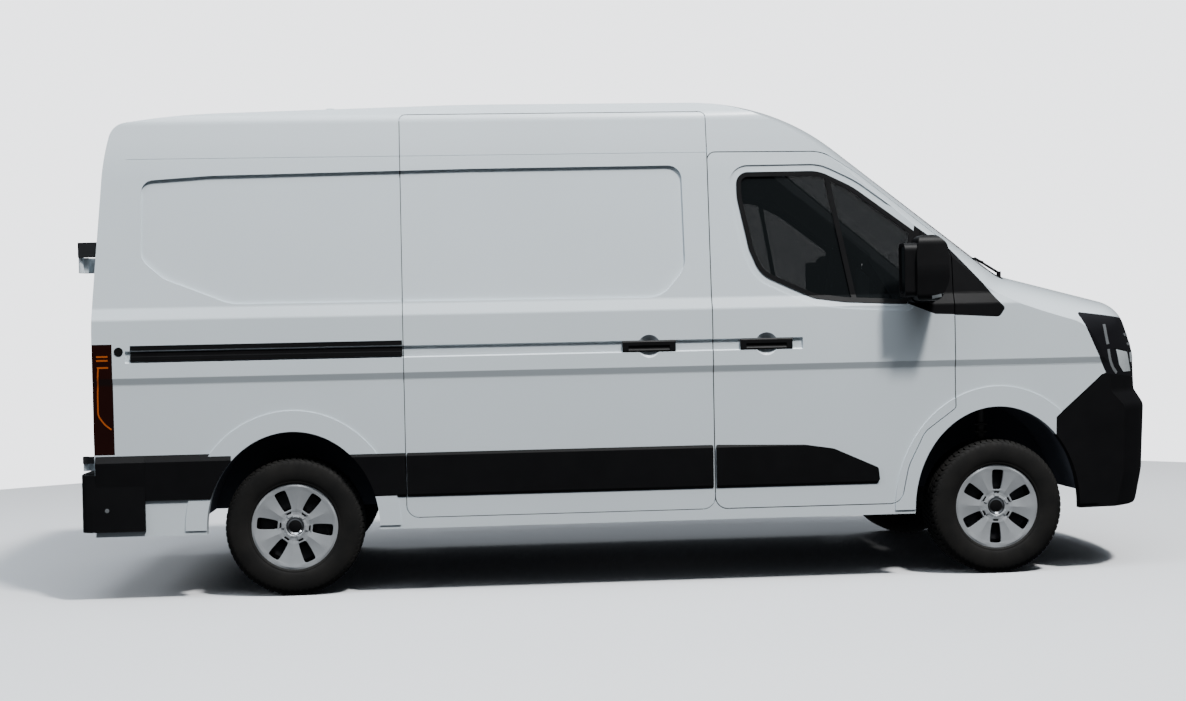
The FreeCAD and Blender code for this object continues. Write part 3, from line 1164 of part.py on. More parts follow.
def build():
    outer = hull()
    cavity = inner_form(REAR_WALL, SHELL_X, SHELL_Z, WALL)
    core = inner_form(SEAM_DEEP, SEAM_DEEP, SEAM_DEEP, SEAM_DEEP)
    shell = body_shell(outer, cavity)

    # Windscreen, bonnet and cowl
    pane = loft_across(insets(screen=PANE * 1.5, roof=PANE), smooth=False)
    screen_zone = screen_slab(SCREEN, 200.0, 200.0)
    windscreen = outer.common(screen_zone).cut(pane)
    shell = shell.cut(screen_zone)
    bonnet_zone = slab_z(BONNET, BONNET_Z, 2000.0)
    bonnet = shell.common(bonnet_zone)
    shell = shell.cut(slab_z(BONNET, BONNET_Z - GAP, 2000.0, GAP))
    cowl_zone = block(behind(3560.0), behind(3900.0), -COWL_Y, COWL_Y, 1380.0, 1640.0)
    cowl = shell.common(cowl_zone)
    shell = shell.cut(cowl_zone)

    # Doors
    slide_zone = slab_y(side(SLIDE_DOOR), -FAR, -400)
    slide_seam = slab_y(side(SLIDE_DOOR), -FAR, -400, SEAM).cut(slide_zone).cut(core)
    sliding = shell.common(slide_zone)
    shell = shell.cut(slide_zone).cut(slide_seam)
    door_zone = slab_y(side(FRONT_DOOR), -FAR, -600)
    door_hole = slab_y(side(FRONT_DOOR), -FAR, -600, GAP)
    door = shell.common(door_zone)
    door_left = mirrored(shell).common(door_zone)
    shell = shell.cut(door_hole).cut(mirrored(door_hole))

    rear_x = behind(REAR_FACE) - 100
    rear_zone = rear_wall_zone(REAR_WALL + 6.0, REAR_FRAME_Y)
    rear_door = shell.common(slab_x(REAR_DOOR, rear_x, rear_x + 400.0).common(rear_zone))
    rear_door = rear_door.cut(slab_z([
        (behind(REAR_FACE + 8.0), 1.0, 0), (behind(REAR_FACE + 8.0), -GAP / 2, 0),
        (behind(REAR_FACE + 230.0), -GAP / 2 - 46.0, 0), (behind(REAR_FACE + 230.0), 1.0, 0),
    ], 0, FAR))
    door_hinges, body_hinges = hinge_parts(outer)
    rear_door = one(rear_door, *door_hinges)
    shell = shell.cut(slab_x(REAR_OPENING, rear_x, rear_x + 400.0, GAP).common(rear_zone))

    # Lamps, bumper and grille
    lamp_zone = slab_y(side(LAMP_SIDE), -FAR, -LAMP_IN)
    lamp = shell.common(lamp_zone)
    shell = shell.cut(lamp_zone).cut(mirrored(lamp_zone))
    bumper_zone = slab_y(side(BUMPER_SIDE), -FAR, FAR)
    bumper = shell.common(bumper_zone)
    for z in INTAKE_Z:
        bumper = bumper.cut(slot_x(INTAKE_Y, z, INTAKE_H))
    shell = shell.cut(bumper_zone)
    grille_zone = block(ahead(500.0), FAR, -LAMP_IN, LAMP_IN, 940.0, BONNET_Z)
    grille = shell.common(grille_zone)
    for z in GRILLE_Z:
        grille = grille.cut(slot_x(GRILLE_Y, z, GRILLE_H))
    shell = shell.cut(grille_zone)
    tail_zone = block(-FAR, behind(TAIL_FRONT), -FAR, -HALF_WIDTH + 90, TAIL_LOW, TAIL_HIGH)
    tail = shell.common(tail_zone)
    shell = shell.cut(tail_zone).cut(mirrored(tail_zone))
    sail_zone = slab_y(side(BODY_SAIL), -FAR, -600.0)
    sail = shell.common(sail_zone)
    shell = shell.cut(sail_zone).cut(mirrored(sail_zone))

    # Wings, roof, rear frame, side walls and cab frame
    wing_zone = slab_y(side(WING_SIDE), -FAR, -ARCH_DEEP)
    wing = shell.common(wing_zone)
    shell = shell.cut(wing_zone).cut(mirrored(wing_zone))
    roof_zone = slab_y([
        (-FAR, ROOF_SEAM_Z, 0), (behind(2440.0), ROOF_SEAM_Z, 0), (behind(2860.0), 2290.0, 0),
        (behind(2990.0), 2290.0, 0), (behind(2990.0), FAR, 0), (-FAR, FAR, 0),
    ], -FAR, FAR)
    roof = shell.common(roof_zone)
    shell = shell.cut(roof_zone)
    roof = rack_holes(roof)
    rear_frame = shell.common(rear_zone)
    shell = shell.cut(rear_zone)
    pillar = behind(SLIDE_FRONT - GAP / 2)
    cab = shell.common(block(pillar, FAR, -FAR, FAR, 0, FAR))
    wall_right = shell.common(block(-FAR, pillar, -FAR, 0, 0, FAR))
    wall_left = shell.common(block(-FAR, pillar, 0, FAR, 0, FAR))

    # Door glass, window seals and sails
    window = slab_y(side(WINDOW), -FAR, -600.0)
    sail_hole = slab_y(side(DOOR_SAIL), -FAR, -600.0)
    pane_zone = window.cut(within(PANE_DEEP + PANE)).common(within(PANE_DEEP))
    seal_in = slab_y(side(WINDOW), -FAR, -600.0, -SEAL_W)
    bar = slab_y(side(DIVIDER), -FAR, -600.0).common(window)
    seal = window.cut(seal_in).fuse(bar).common(within(SEAL_PROUD)).cut(within(PANE_DEEP))
    door_sail = door.common(sail_hole).cut(window).cut(within(WALL + 1.0))
    door = door.cut(window).cut(sail_hole)
    door_left = door_left.cut(window).cut(sail_hole)

    # Hollow frames behind the door openings, and the door strikers
    side_ring = slab_y(side(FRONT_DOOR), -FAR, -600.0, RING_OUT).cut(
        slab_y(side(FRONT_DOOR), -FAR, -600.0, -RING_IN))
    side_ring = side_ring.common(cavity).cut(within(WALL + RING_T))
    side_ring = side_ring.cut(door_hole.cut(within(WALL + GAP)))
    arch_clear = arch_cut(ahead(0), ARCH_FRONT, -FAR, -ARCH_DEEP + HOUSE_T + 1.0, HOUSE_T + 1.0)
    side_ring = side_ring.cut(arch_clear)
    cab = one(cab, *pair(side_ring))
    rear_ring = slab_x(REAR_OPENING, rear_x, rear_x + 600.0, RING_OUT).cut(
        slab_x(REAR_OPENING, rear_x, rear_x + 600.0, -RING_IN))
    rear_ring = rear_ring.common(cavity).common(rear_wall_zone(REAR_WALL + 6.0 + GAP + RING_T, FAR))
    rear_ring = rear_ring.cut(slab_x(REAR_OPENING, rear_x, rear_x + 400.0, GAP).common(
        rear_wall_zone(REAR_WALL + 6.0 + GAP, REAR_FRAME_Y)))

    striker_z = 1240.0
    striker_x = behind(SLIDE_FRONT + 45.0)
    pin_y = SKIN_Y - WALL
    striker = block(striker_x - 14.0, striker_x + 14.0, -pin_y - 22.0, -pin_y + GAP + 10.0,
                    striker_z - 9.0, striker_z + 9.0)
    striker = striker.cut(side_ring)
    latch = block(striker_x - 22.0, striker_x + 22.0, -pin_y - 30.0, -pin_y + 1.0,
                  striker_z - 9.0 - FIT, striker_z + 9.0 + FIT)
    door = door.cut(latch)
    door_left = door_left.cut(latch)
    cab = one(cab, *pair(striker))

    add("side_wall_right", wall_right)
    add("side_wall_left", wall_left)
    add("rear_frame", one(rear_frame, rear_ring))
    add("roof", roof)
    header = block(-FAR, FAR, -HEADER_Y, HEADER_Y, 0, FAR)
    add("cab_frame", cab.common(header))
    cab = cab.cut(header)
    add("cab_side_right", cab.common(block(-FAR, FAR, -FAR, 0, 0, FAR)))
    add("cab_side_left", cab.common(block(-FAR, FAR, 0, FAR, 0, FAR)))
    add("sliding_door", sliding)
    add("front_door_right", door)
    add("front_door_left", mirrored(door_left))
    both("rear_door", rear_door)
    add("bonnet", bonnet)
    add("cowl", cowl)
    add("front_wings", *pair(wing))
    add("headlamps", *pair(lamp))
    add("tail_lamps", *pair(tail))
    add("quarter_trims", *pair(sail))
    add("grille", grille)
    add("front_bumper", bumper)
    add("windscreen", windscreen)

    both("door_glass", pane_zone)
    both("door_trim", *door_fittings(outer, door_sail, seal))
    side_trim(outer)
    rear_bumper()
    add("rear_hinges", *[piece for part in body_hinges for piece in pair(part)])
    add("wipers", *wipers(outer))
    radiator(bonnet)
    room = within(WALL + RING_T)
    floor_and_houses(cavity, rear_ring, room)
    dashboard(room)
    seats()
    running_gear()


os.makedirs("parts", exist_ok=True)
build()
for name, shape in PARTS.items():
    shape.exportStep("parts/" + name + ".step")
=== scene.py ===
import json
import math

import bmesh
import bpy
from mathutils import Matrix, Vector
from mathutils.bvhtree import BVHTree


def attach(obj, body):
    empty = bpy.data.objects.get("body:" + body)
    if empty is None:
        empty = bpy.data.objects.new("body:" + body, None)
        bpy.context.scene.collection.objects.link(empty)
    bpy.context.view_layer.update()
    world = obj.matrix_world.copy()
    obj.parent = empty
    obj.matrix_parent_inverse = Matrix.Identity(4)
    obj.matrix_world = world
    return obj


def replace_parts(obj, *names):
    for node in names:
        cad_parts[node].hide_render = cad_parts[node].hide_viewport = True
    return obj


# Looks of the panel van, in metres. +X is forward, +Y is the van's left side, +Z is up.

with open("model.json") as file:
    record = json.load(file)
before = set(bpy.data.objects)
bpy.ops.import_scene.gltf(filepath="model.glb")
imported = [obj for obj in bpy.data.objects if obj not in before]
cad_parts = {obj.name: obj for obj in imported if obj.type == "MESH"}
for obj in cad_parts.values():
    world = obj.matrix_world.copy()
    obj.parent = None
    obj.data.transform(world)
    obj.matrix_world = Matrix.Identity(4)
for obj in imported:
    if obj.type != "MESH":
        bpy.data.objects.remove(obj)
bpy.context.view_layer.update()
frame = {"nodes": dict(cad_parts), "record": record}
NODES = frame["nodes"]
RECORD = frame["record"]
SLOTS = {part["node"]: part["material_slot"] for part in RECORD["subparts"]}
BODY_OF = {name: body for body, names in RECORD["behaviour"]["bodies"].items() for name in names}
BODY = "van_body"

# Main sizes, as in the CAD
WHEELBASE = 3.585
REAR_AXLE = -1.7525
AXLES = (("front", REAR_AXLE + WHEELBASE), ("rear", REAR_AXLE))
TRACK = {"front": 1.750, "rear": 1.730}
TYRE_R = 0.345
SIDES = (("right", -1), ("left", 1))


def from_axle(x):
    """Frame x of a place that is x ahead of the rear axle."""
    return REAR_AXLE + x


def side_path(points):
    """Path of (x, z) in the frame, from points given as x ahead of the rear axle and z."""
    return [(from_axle(x), z) for x, z in points]


def across_path(points, sign):
    """Path of (y, z) on one side of the van, from points given as distance from its middle and z."""
    return [(sign * y, z) for y, z in points]


# Camera: angles in degrees, focal length in pixels of the photograph

CAMERA_AT = (REAR_AXLE + 0.841, -9.5, 1.289)
CAMERA_YAW = 4.5
CAMERA_PITCH = 0.638
CAMERA_ROLL = 1.2
FOCAL_PX = 1691.2
PHOTO_WIDTH = 1186.0
SENSOR_WIDTH = 36.0
CLIP_END = 200.0


def make_camera():
    """Camera that looks across the van as the photograph does."""
    yaw, pitch, roll = (math.radians(a) for a in (CAMERA_YAW, CAMERA_PITCH, CAMERA_ROLL))
    level = Vector((math.sin(yaw), math.cos(yaw), 0))
    right = Vector((math.cos(yaw), -math.sin(yaw), 0))
    ahead = level * math.cos(pitch) - Vector((0, 0, 1)) * math.sin(pitch)
    up = Vector((0, 0, 1)) * math.cos(pitch) + level * math.sin(pitch)
    turned_right = right * math.cos(roll) - up * math.sin(roll)
    turned_up = up * math.cos(roll) + right * math.sin(roll)
    data = bpy.data.cameras.new("camera")
    data.sensor_width = SENSOR_WIDTH
    data.lens = FOCAL_PX / PHOTO_WIDTH * SENSOR_WIDTH
    data.clip_end = CLIP_END
    camera = bpy.data.objects.new("camera", data)
    camera.matrix_world = Matrix((
        (turned_right.x, turned_up.x, -ahead.x, CAMERA_AT[0]),
        (turned_right.y, turned_up.y, -ahead.y, CAMERA_AT[1]),
        (turned_right.z, turned_up.z, -ahead.z, CAMERA_AT[2]),
        (0, 0, 0, 1),
    ))
    bpy.context.scene.collection.objects.link(camera)
    bpy.context.scene.camera = camera


# Floor

FLOOR_RINGS = (3.0, 6.0, 7.7)
FLOOR_STEPS = 128
FLOOR_Z = -0.001


def make_floor():
    """Pale round floor that throws no light on the van and doesn't show in its gloss."""
    edit = bmesh.new()
    angles = [2 * math.pi * i / FLOOR_STEPS for i in range(FLOOR_STEPS)]
    rows = []
    for r in FLOOR_RINGS:
        rows.append([edit.verts.new((r * math.cos(a), r * math.sin(a), FLOOR_Z)) for a in angles])
    edit.faces.new(rows[0])
    for low, high in zip(rows, rows[1:]):
        for i in range(FLOOR_STEPS):
            j = (i + 1) % FLOOR_STEPS
            edit.faces.new((low[i], high[i], high[j], low[j]))
    mesh = bpy.data.meshes.new("floor")
    edit.to_mesh(mesh)
    edit.free()
    mesh.materials.append(MATERIALS["studio_floor"])
    floor = bpy.data.objects.new("floor", mesh)
    bpy.context.scene.collection.objects.link(floor)
    floor.visible_diffuse = False
    floor.visible_glossy = False


# Colours

def scaled(colour, k):
    """Colour with each part multiplied by k."""
    return tuple(c * k for c in colour)


def fill_ramp(node, stops):
    """Sets a colour ramp's stops, each a place and a colour, from low to high."""
    elements = node.color_ramp.elements
    while len(elements) < len(stops):
        elements.new(0.5)
    for element, (place, colour) in zip(elements, stops):
        element.position = place
        element.color = (*colour, 1)


# Light

# Name, place, target, size, watts and colour: one high key light ahead and to the right of the van, and
# large soft ones
AREA_LIGHTS = (
    ("key", (6.2, -11.0, 21.0), (0.2, -0.5, 0.8), (2.2, 2.2), 7500.0, (1.0, 0.985, 0.96)),
    ("overhead", (0.0, -5.0, 12.0), (0, -0.5, 1.0), (16.0, 6.0), 1300.0, (0.86, 0.93, 1.0)),
    ("left_fill", (-2.0, 10.0, 15.0), (0, 0, 1.0), (20.0, 4.0), 480.0, (0.90, 0.96, 1.0)),
    ("rear_fill", (-14.0, -4.0, 9.0), (-2.8, 0, 0.8), (8.0, 6.0), 800.0, (0.92, 0.96, 1.0)),
)
# Light of the dome by height, from 0 straight down over 0.5 at the horizon to 1 straight up
DOME = ((0.0, 0.75), (0.5, 0.10), (0.62, 0.12), (0.88, 1.0))
DOME_COLOUR = (0.86, 0.92, 1.0)
DOME_STRENGTH = 0.22
# What the camera sees past the floor
BACKGROUND_COLOUR = (0.95, 0.965, 1.0, 1)
BACKGROUND_STRENGTH = 3.0


def area_light(name, at, target, size, power, colour):
    """Rectangular light that points at a target and isn't seen itself."""
    data = bpy.data.lights.new(name, "AREA")
    data.shape = "RECTANGLE"
    data.size, data.size_y = size
    data.energy = power
    data.color = colour
    light = bpy.data.objects.new(name, data)
    light.location = at
    light.rotation_euler = (Vector(target) - Vector(at)).to_track_quat("-Z", "Y").to_euler()
    light.visible_camera = False
    bpy.context.scene.collection.objects.link(light)


def make_world():
    """Soft dome of light, and an even pale background behind the van."""
    world = bpy.data.worlds.new("studio")
    world.use_nodes = True
    nodes, links = world.node_tree.nodes, world.node_tree.links
    where = nodes.new("ShaderNodeTexCoord")
    parts = nodes.new("ShaderNodeSeparateXYZ")
    height = nodes.new("ShaderNodeMapRange")
    height.inputs["From Min"].default_value = -1.0
    ramp = nodes.new("ShaderNodeValToRGB")
    fill_ramp(ramp, [(place, scaled(DOME_COLOUR, share)) for place, share in DOME])
    dome = nodes["Background"]
    dome.inputs["Strength"].default_value = DOME_STRENGTH
    links.new(where.outputs["Generated"], parts.inputs[0])
    links.new(parts.outputs["Z"], height.inputs["Value"])
    links.new(height.outputs["Result"], ramp.inputs["Fac"])
    links.new(ramp.outputs["Color"], dome.inputs["Color"])
    backdrop = nodes.new("ShaderNodeBackground")
    backdrop.inputs["Color"].default_value = BACKGROUND_COLOUR
    backdrop.inputs["Strength"].default_value = BACKGROUND_STRENGTH
    path = nodes.new("ShaderNodeLightPath")
    mix = nodes.new("ShaderNodeMixShader")
    links.new(path.outputs["Is Camera Ray"], mix.inputs["Fac"])
    links.new(dome.outputs["Background"], mix.inputs[1])
    links.new(backdrop.outputs["Background"], mix.inputs[2])
    links.new(mix.outputs["Shader"], nodes["World Output"].inputs["Surface"])
    bpy.context.scene.world = world


def make_lights():
    """All the light of the scene."""
    for light in AREA_LIGHTS:
        area_light(*light)
    make_world()


# Material helpers

class Maker:
    """Short calls for a node material whose patterns lie in the object's own metres."""

    def __init__(self, name):
        self.material = bpy.data.materials.new(name)
        self.material.use_nodes = True
        self.nodes = self.material.node_tree.nodes
        self.links = self.material.node_tree.links
        self.shader = self.nodes["Principled BSDF"]
        self.where = self.nodes.new("ShaderNodeTexCoord").outputs["Object"]

    def set(self, **values):
        """Sets the shader's own sockets; an underscore stands for a space in a name."""
        for key, value in values.items():
            self.shader.inputs[key.replace("_", " ")].default_value = value

    def link(self, source, name):
        """Feeds a pattern to one of the shader's sockets."""
        self.links.new(source, self.shader.inputs[name])

    def noise(self, scale, detail=3.0, rough=0.5, stretch=None):
        """Noise pattern, which stretch makes finer or coarser along each axis."""
        node = self.nodes.new("ShaderNodeTexNoise")
        node.inputs["Scale"].default_value = scale
        node.inputs["Detail"].default_value = detail
        node.inputs["Roughness"].default_value = rough
        source = self.where
        if stretch:
            mapping = self.nodes.new("ShaderNodeMapping")
            mapping.inputs["Scale"].default_value = stretch
            self.links.new(source, mapping.inputs["Vector"])
            source = mapping.outputs["Vector"]
        self.links.new(source, node.inputs["Vector"])
        return node.outputs["Fac"]

    def spread(self, source, low, high, from_low=0.0, from_high=1.0):
        """Pattern with its values moved from one range to another, and held at its ends."""
        node = self.nodes.new("ShaderNodeMapRange")
        for key, value in (("From Min", from_low), ("From Max", from_high), ("To Min", low),
                           ("To Max", high)):
            node.inputs[key].default_value = value
        self.links.new(source, node.inputs["Value"])
        return node.outputs["Result"]

    def colour(self, source, dark, light, low=0.3, high=0.7):
        """Colour that goes from dark to light as a pattern goes from low to high."""
        node = self.nodes.new("ShaderNodeValToRGB")
        fill_ramp(node, [(low, dark), (high, light)])
        self.links.new(source, node.inputs["Fac"])
        self.link(node.outputs["Color"], "Base Color")

    def roughness(self, source, low, high):
        """Roughness that goes from low to high with a pattern."""
        self.link(self.spread(source, low, high), "Roughness")

    def bump(self, source, strength, distance):
        """Small relief from a pattern."""
        node = self.nodes.new("ShaderNodeBump")
        node.inputs["Strength"].default_value = strength
        node.inputs["Distance"].default_value = distance
        self.links.new(source, node.inputs["Height"])
        self.link(node.outputs["Normal"], "Normal")


# Materials

def paint(name, colour):
    """Glossy body paint with faint unevenness under a clear coat."""
    m = Maker(name)
    m.set(Roughness=0.30, Coat_Weight=0.5, Coat_Roughness=0.04)
    m.colour(m.noise(scale=1.6, detail=4.0), scaled(colour, 0.97), colour)
    m.bump(m.noise(scale=420.0, detail=1.0), strength=0.012, distance=0.001)
    return m.material


def plastic(name, colour, rough=0.5, grain=200.0, depth=0.1, specular=0.3):
    """Moulded plastic or a coated surface, with a fine grain."""
    m = Maker(name)
    m.set(Specular_IOR_Level=specular)
    m.colour(m.noise(scale=3.0, detail=5.0), scaled(colour, 0.8), scaled(colour, 1.15), low=0.25, high=0.75)
    m.roughness(m.noise(scale=14.0), rough - 0.05, rough + 0.08)
    m.bump(m.noise(scale=grain, detail=2.0), strength=depth, distance=0.0006)
    return m.material


def metal(name, colour, rough, metallic=1.0, grain=120.0, depth=0.08):
    """Bare, cast or silver painted metal."""
    m = Maker(name)
    m.set(Metallic=metallic)
    m.colour(m.noise(scale=8.0, detail=5.0), scaled(colour, 0.85), colour)
    m.roughness(m.noise(scale=30.0), rough - 0.06, rough + 0.08)
    m.bump(m.noise(scale=grain, detail=3.0), strength=depth, distance=0.0008)
    return m.material


def rubber(name, colour, dark):
    """Tyre rubber, slightly dusty in patches."""
    m = Maker(name)
    m.set(Specular_IOR_Level=0.2)
    m.colour(m.noise(scale=9.0, detail=6.0), dark, colour, high=0.75)
    m.roughness(m.noise(scale=26.0), 0.6, 0.85)
    m.bump(m.noise(scale=500.0, detail=2.0), strength=0.2, distance=0.0005)
    return m.material


def glass(name, colour, see):
    """Tinted pane: dark glossy surface that lets a share of the light through."""
    m = Maker(name)
    m.set(Roughness=0.03, Alpha=1.0 - see, Specular_IOR_Level=0.35)
    m.colour(m.noise(scale=1.4), scaled(colour, 0.9), colour)
    m.material.blend_method = "BLEND"
    return m.material


def cloth(name, colour):
    """Woven seat cloth."""
    m = Maker(name)
    m.set(Roughness=0.95, Sheen_Weight=0.3)
    m.colour(m.noise(scale=300.0, detail=2.0), scaled(colour, 0.7), colour, low=0.35, high=0.65)
    m.bump(m.noise(scale=700.0, detail=2.0), strength=0.5, distance=0.001)
    return m.material


def wood(name, colour, dark):
    """Varnished plywood, with its grain along the load space."""
    m = Maker(name)
    grain = m.noise(scale=9.0, detail=6.0, rough=0.6, stretch=(0.5, 9.0, 1.0))
    m.colour(grain, dark, colour)
    m.roughness(m.noise(scale=20.0), 0.45, 0.65)
    m.bump(grain, strength=0.1, distance=0.001)
    return m.material


def studio(name, colour):
    """Even pale floor with faint patches."""
    m = Maker(name)
    m.set(Roughness=0.8, Specular_IOR_Level=0.2)
    m.colour(m.noise(scale=0.25), scaled(colour, 0.97), colour, low=0.2, high=0.8)
    return m.material


def glow(name, colour, strength):
    """Lamp element that stays readable inside its dark housing."""
    m = Maker(name)
    m.set(Roughness=0.2, Emission_Strength=strength, Emission_Color=(*colour, 1))
    m.colour(m.noise(scale=60.0), scaled(colour, 0.85), colour)
    return m.material


def underseal(name, colour, dark, height):
    """Bare painted floor above a height, black underseal below it."""
    m = Maker(name)
    parts = m.nodes.new("ShaderNodeSeparateXYZ")
    m.links.new(m.where, parts.inputs[0])
    above = m.spread(parts.outputs["Z"], 0.0, 1.0, from_low=height - 0.001, from_high=height)
    m.colour(above, dark, colour, low=0.0, high=1.0)
    m.roughness(m.noise(scale=30.0), 0.55, 0.75)
    m.bump(m.noise(scale=160.0, detail=3.0), strength=0.2, distance=0.001)
    return m.material


# Kind, colour and further values of each material
FINISHES = {
    "body_paint": (paint, (0.745, 0.820, 0.870), {}),
    "black_plastic": (plastic, (0.0045, 0.0045, 0.0052), dict(grain=900.0, depth=0.15, specular=0.18)),
    "glass": (glass, (0.010, 0.012, 0.013), dict(see=0.31)),
    "tyre": (rubber, (0.014, 0.013, 0.012), dict(dark=(0.006, 0.006, 0.006))),
    "wheel_silver": (metal, (0.60, 0.63, 0.66), dict(rough=0.38, metallic=0.5)),
    # Lighter, glossier copy of the cover silver: a painted highlight on the raised steps at the slots
    "cover_light": (metal, (0.66, 0.69, 0.72), dict(rough=0.34, metallic=0.5)),
    "wheel_steel": (plastic, (0.014, 0.014, 0.016), {}),
    "lamp": (plastic, (0.010, 0.010, 0.012), dict(rough=0.08, grain=60.0, depth=0.0, specular=0.5)),
    "tail_lamp": (plastic, (0.016, 0.004, 0.003), dict(rough=0.08, grain=60.0, depth=0.0, specular=0.5)),
    "chassis": (plastic, (0.012, 0.012, 0.013), dict(rough=0.6, depth=0.3)),
    "floor_metal": (metal, (0.42, 0.43, 0.45), dict(rough=0.5, metallic=0.6)),
    "trim_dark": (plastic, (0.012, 0.012, 0.014), dict(rough=0.7, grain=500.0, depth=0.4)),
    "seat_cloth": (cloth, (0.030, 0.031, 0.034), {}),
    "engine_metal": (metal, (0.20, 0.20, 0.21), dict(rough=0.5, metallic=0.8)),
    "exhaust_steel": (metal, (0.36, 0.33, 0.30), dict(rough=0.42, metallic=0.9)),
    "brake_iron": (metal, (0.22, 0.21, 0.20), dict(rough=0.45, metallic=0.9)),
    "ply": (wood, (0.36, 0.24, 0.13), dict(dark=(0.20, 0.12, 0.06))),
    "studio_floor": (studio, (0.84, 0.86, 0.89), {}),
    "lamp_light": (glow, (0.45, 0.49, 0.51), dict(strength=0.12)),
    "lamp_grey": (plastic, (0.16, 0.17, 0.18), dict(rough=0.25, grain=60.0, depth=0.0, specular=0.5)),
    "lamp_amber": (glow, (0.42, 0.085, 0.01), dict(strength=0.1)),
    # Red glow of the lamps, also given to the rear reflectors, where the glow is painted light as they are no
    # lamps
    "lamp_red": (glow, (0.35, 0.012, 0.010), dict(strength=0.1)),
    "chrome": (metal, (0.75, 0.76, 0.78), dict(rough=0.10, grain=60.0, depth=0.0)),
    "mirror_glass": (metal, (0.62, 0.66, 0.70), dict(rough=0.04, grain=60.0, depth=0.0)),
    "sealed_floor": (underseal, (0.30, 0.31, 0.32), dict(dark=(0.010, 0.010, 0.011), height=0.585)),
    "arch_liner": (plastic, (0.10, 0.11, 0.14), dict(rough=0.75, depth=0.3)),
    "hinge_dark": (plastic, (0.020, 0.021, 0.023), dict(rough=0.4, depth=0.05, specular=0.4)),
    "seam_dark": (plastic, (0.006, 0.006, 0.007), dict(rough=0.8, grain=300.0, specular=0.1)),
}
# CAD nodes that don't look like the rest of their slot
OWN_FINISH = {"floor_pan": "sealed_floor", "wheelhouses": "arch_liner", "rear_hinges": "hinge_dark"}


def make_materials():
    """Every material by its name."""
    return {name: kind(name, colour, **more) for name, (kind, colour, more) in FINISHES.items()}


def dress_nodes():
    """Gives every carried-over node the finish of its record slot, or its own."""
    for name, node in NODES.items():
        node.data.materials.clear()
        node.data.materials.append(MATERIALS[OWN_FINISH.get(name, SLOTS[name])])


# Mesh helpers

# Edges show as sharp above these angles, on most pieces and on small turned ones
SMOOTH_ANGLE = 32.0
SMALL_ANGLE = 24.0
WELD = 1e-6
ROD_SIDES = 10


def finish_piece(name, mesh, edit, material, body, smooth):
    """Writes an edited mesh back and makes it a piece that moves with a body."""
    bmesh.ops.recalc_face_normals(edit, faces=edit.faces)
    edit.to_mesh(mesh)
    edit.free()
    for face in mesh.polygons:
        face.use_smooth = True
    mesh.set_sharp_from_angle(angle=math.radians(smooth))
    piece = bpy.data.objects.new(name, mesh)
    bpy.context.scene.collection.objects.link(piece)
    piece.data.materials.append(MATERIALS[material])
    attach(piece, body)
    return piece


class Solid:
    """Collects the vertices and faces of one piece."""

    def __init__(self):
        self.verts = []
        self.faces = []

    def add(self, verts, faces):
        """Adds faces, whose numbers count from the first of these vertices."""
        first = len(self.verts)
        self.verts += [Vector(v) for v in verts]
        self.faces += [tuple(first + i for i in face) for face in faces]

    def tube(self, rings, closed=False):
        """Skin over rings that have the same number of points, with flat ends unless it is closed."""
        n = len(rings[0])
        faces = []
        for i in range(len(rings) if closed else len(rings) - 1):
            j = (i + 1) % len(rings)
            for k in range(n):
                m = (k + 1) % n
                faces.append((i * n + k, i * n + m, j * n + m, j * n + k))
        if not closed:
            faces.append(tuple(reversed(range(n))))
            faces.append(tuple((len(rings) - 1) * n + k for k in range(n)))
        self.add([p for ring in rings for p in ring], faces)

    def turned(self, profile, centre, axis, steps):
        """Profile (distance from the axis, distance along it) turned round an axis."""
        axis = Vector(axis).normalized()
        side = axis.orthogonal().normalized()
        other = axis.cross(side)
        rings = []
        for i in range(steps):
            angle = math.radians(360.0 * i / steps)
            out = side * math.cos(angle) + other * math.sin(angle)
            rings.append([Vector(centre) + out * r + axis * a for r, a in profile])
        self.tube(rings, closed=True)

    def box(self, low, high, bevel):
        """Block with its edges bevelled."""
        x0, y0, z0 = low
        x1, y1, z1 = high
        b = bevel
        ring = [(y0 + b, z0), (y1 - b, z0), (y1, z0 + b), (y1, z1 - b),
                (y1 - b, z1), (y0 + b, z1), (y0, z1 - b), (y0, z0 + b)]
        inner = [(y + (b if y < (y0 + y1) / 2 else -b), z + (b if z < (z0 + z1) / 2 else -b))
                 for y, z in ring]
        self.tube([[(x, y, z) for y, z in outline]
                   for x, outline in ((x0, inner), (x0 + b, ring), (x1 - b, ring), (x1, inner))])

    def rod(self, points, radius):
        """Round bar through points."""
        points = [Vector(p) for p in points]
        angles = [2 * math.pi * k / ROD_SIDES for k in range(ROD_SIDES)]
        rings = []
        for i, p in enumerate(points):
            ahead = (points[min(i + 1, len(points) - 1)] - points[max(i - 1, 0)]).normalized()
            side = ahead.orthogonal() if i == 0 else side - ahead * side.dot(ahead)
            side.normalize()
            other = ahead.cross(side)
            rings.append([p + side * radius * math.cos(a) + other * radius * math.sin(a) for a in angles])
        self.tube(rings)

    def piece(self, name, material, body, slot, smooth=SMOOTH_ANGLE):
        """Makes the collected faces one piece; where no surface was found, there is no piece."""
        if not self.faces:
            return None
        mesh = bpy.data.meshes.new(name)
        mesh.from_pydata([tuple(v) for v in self.verts], [], self.faces)
        edit = bmesh.new()
        edit.from_mesh(mesh)
        bmesh.ops.remove_doubles(edit, verts=edit.verts, dist=WELD)
        return finish_piece(name, mesh, edit, material, body, smooth)


# For each side: where its rays start, which way they go, and where the point (u, v) lies in its view
LOOKS = {
    "right": (Vector((0, -4, 0)), Vector((0, 1, 0)), lambda u, v: Vector((u, 0, v))),
    "left": (Vector((0, 4, 0)), Vector((0, -1, 0)), lambda u, v: Vector((u, 0, v))),
    "front": (Vector((6, 0, 0)), Vector((-1, 0, 0)), lambda u, v: Vector((0, u, v))),
    "rear": (Vector((-6, 0, 0)), Vector((1, 0, 0)), lambda u, v: Vector((0, u, v))),
}


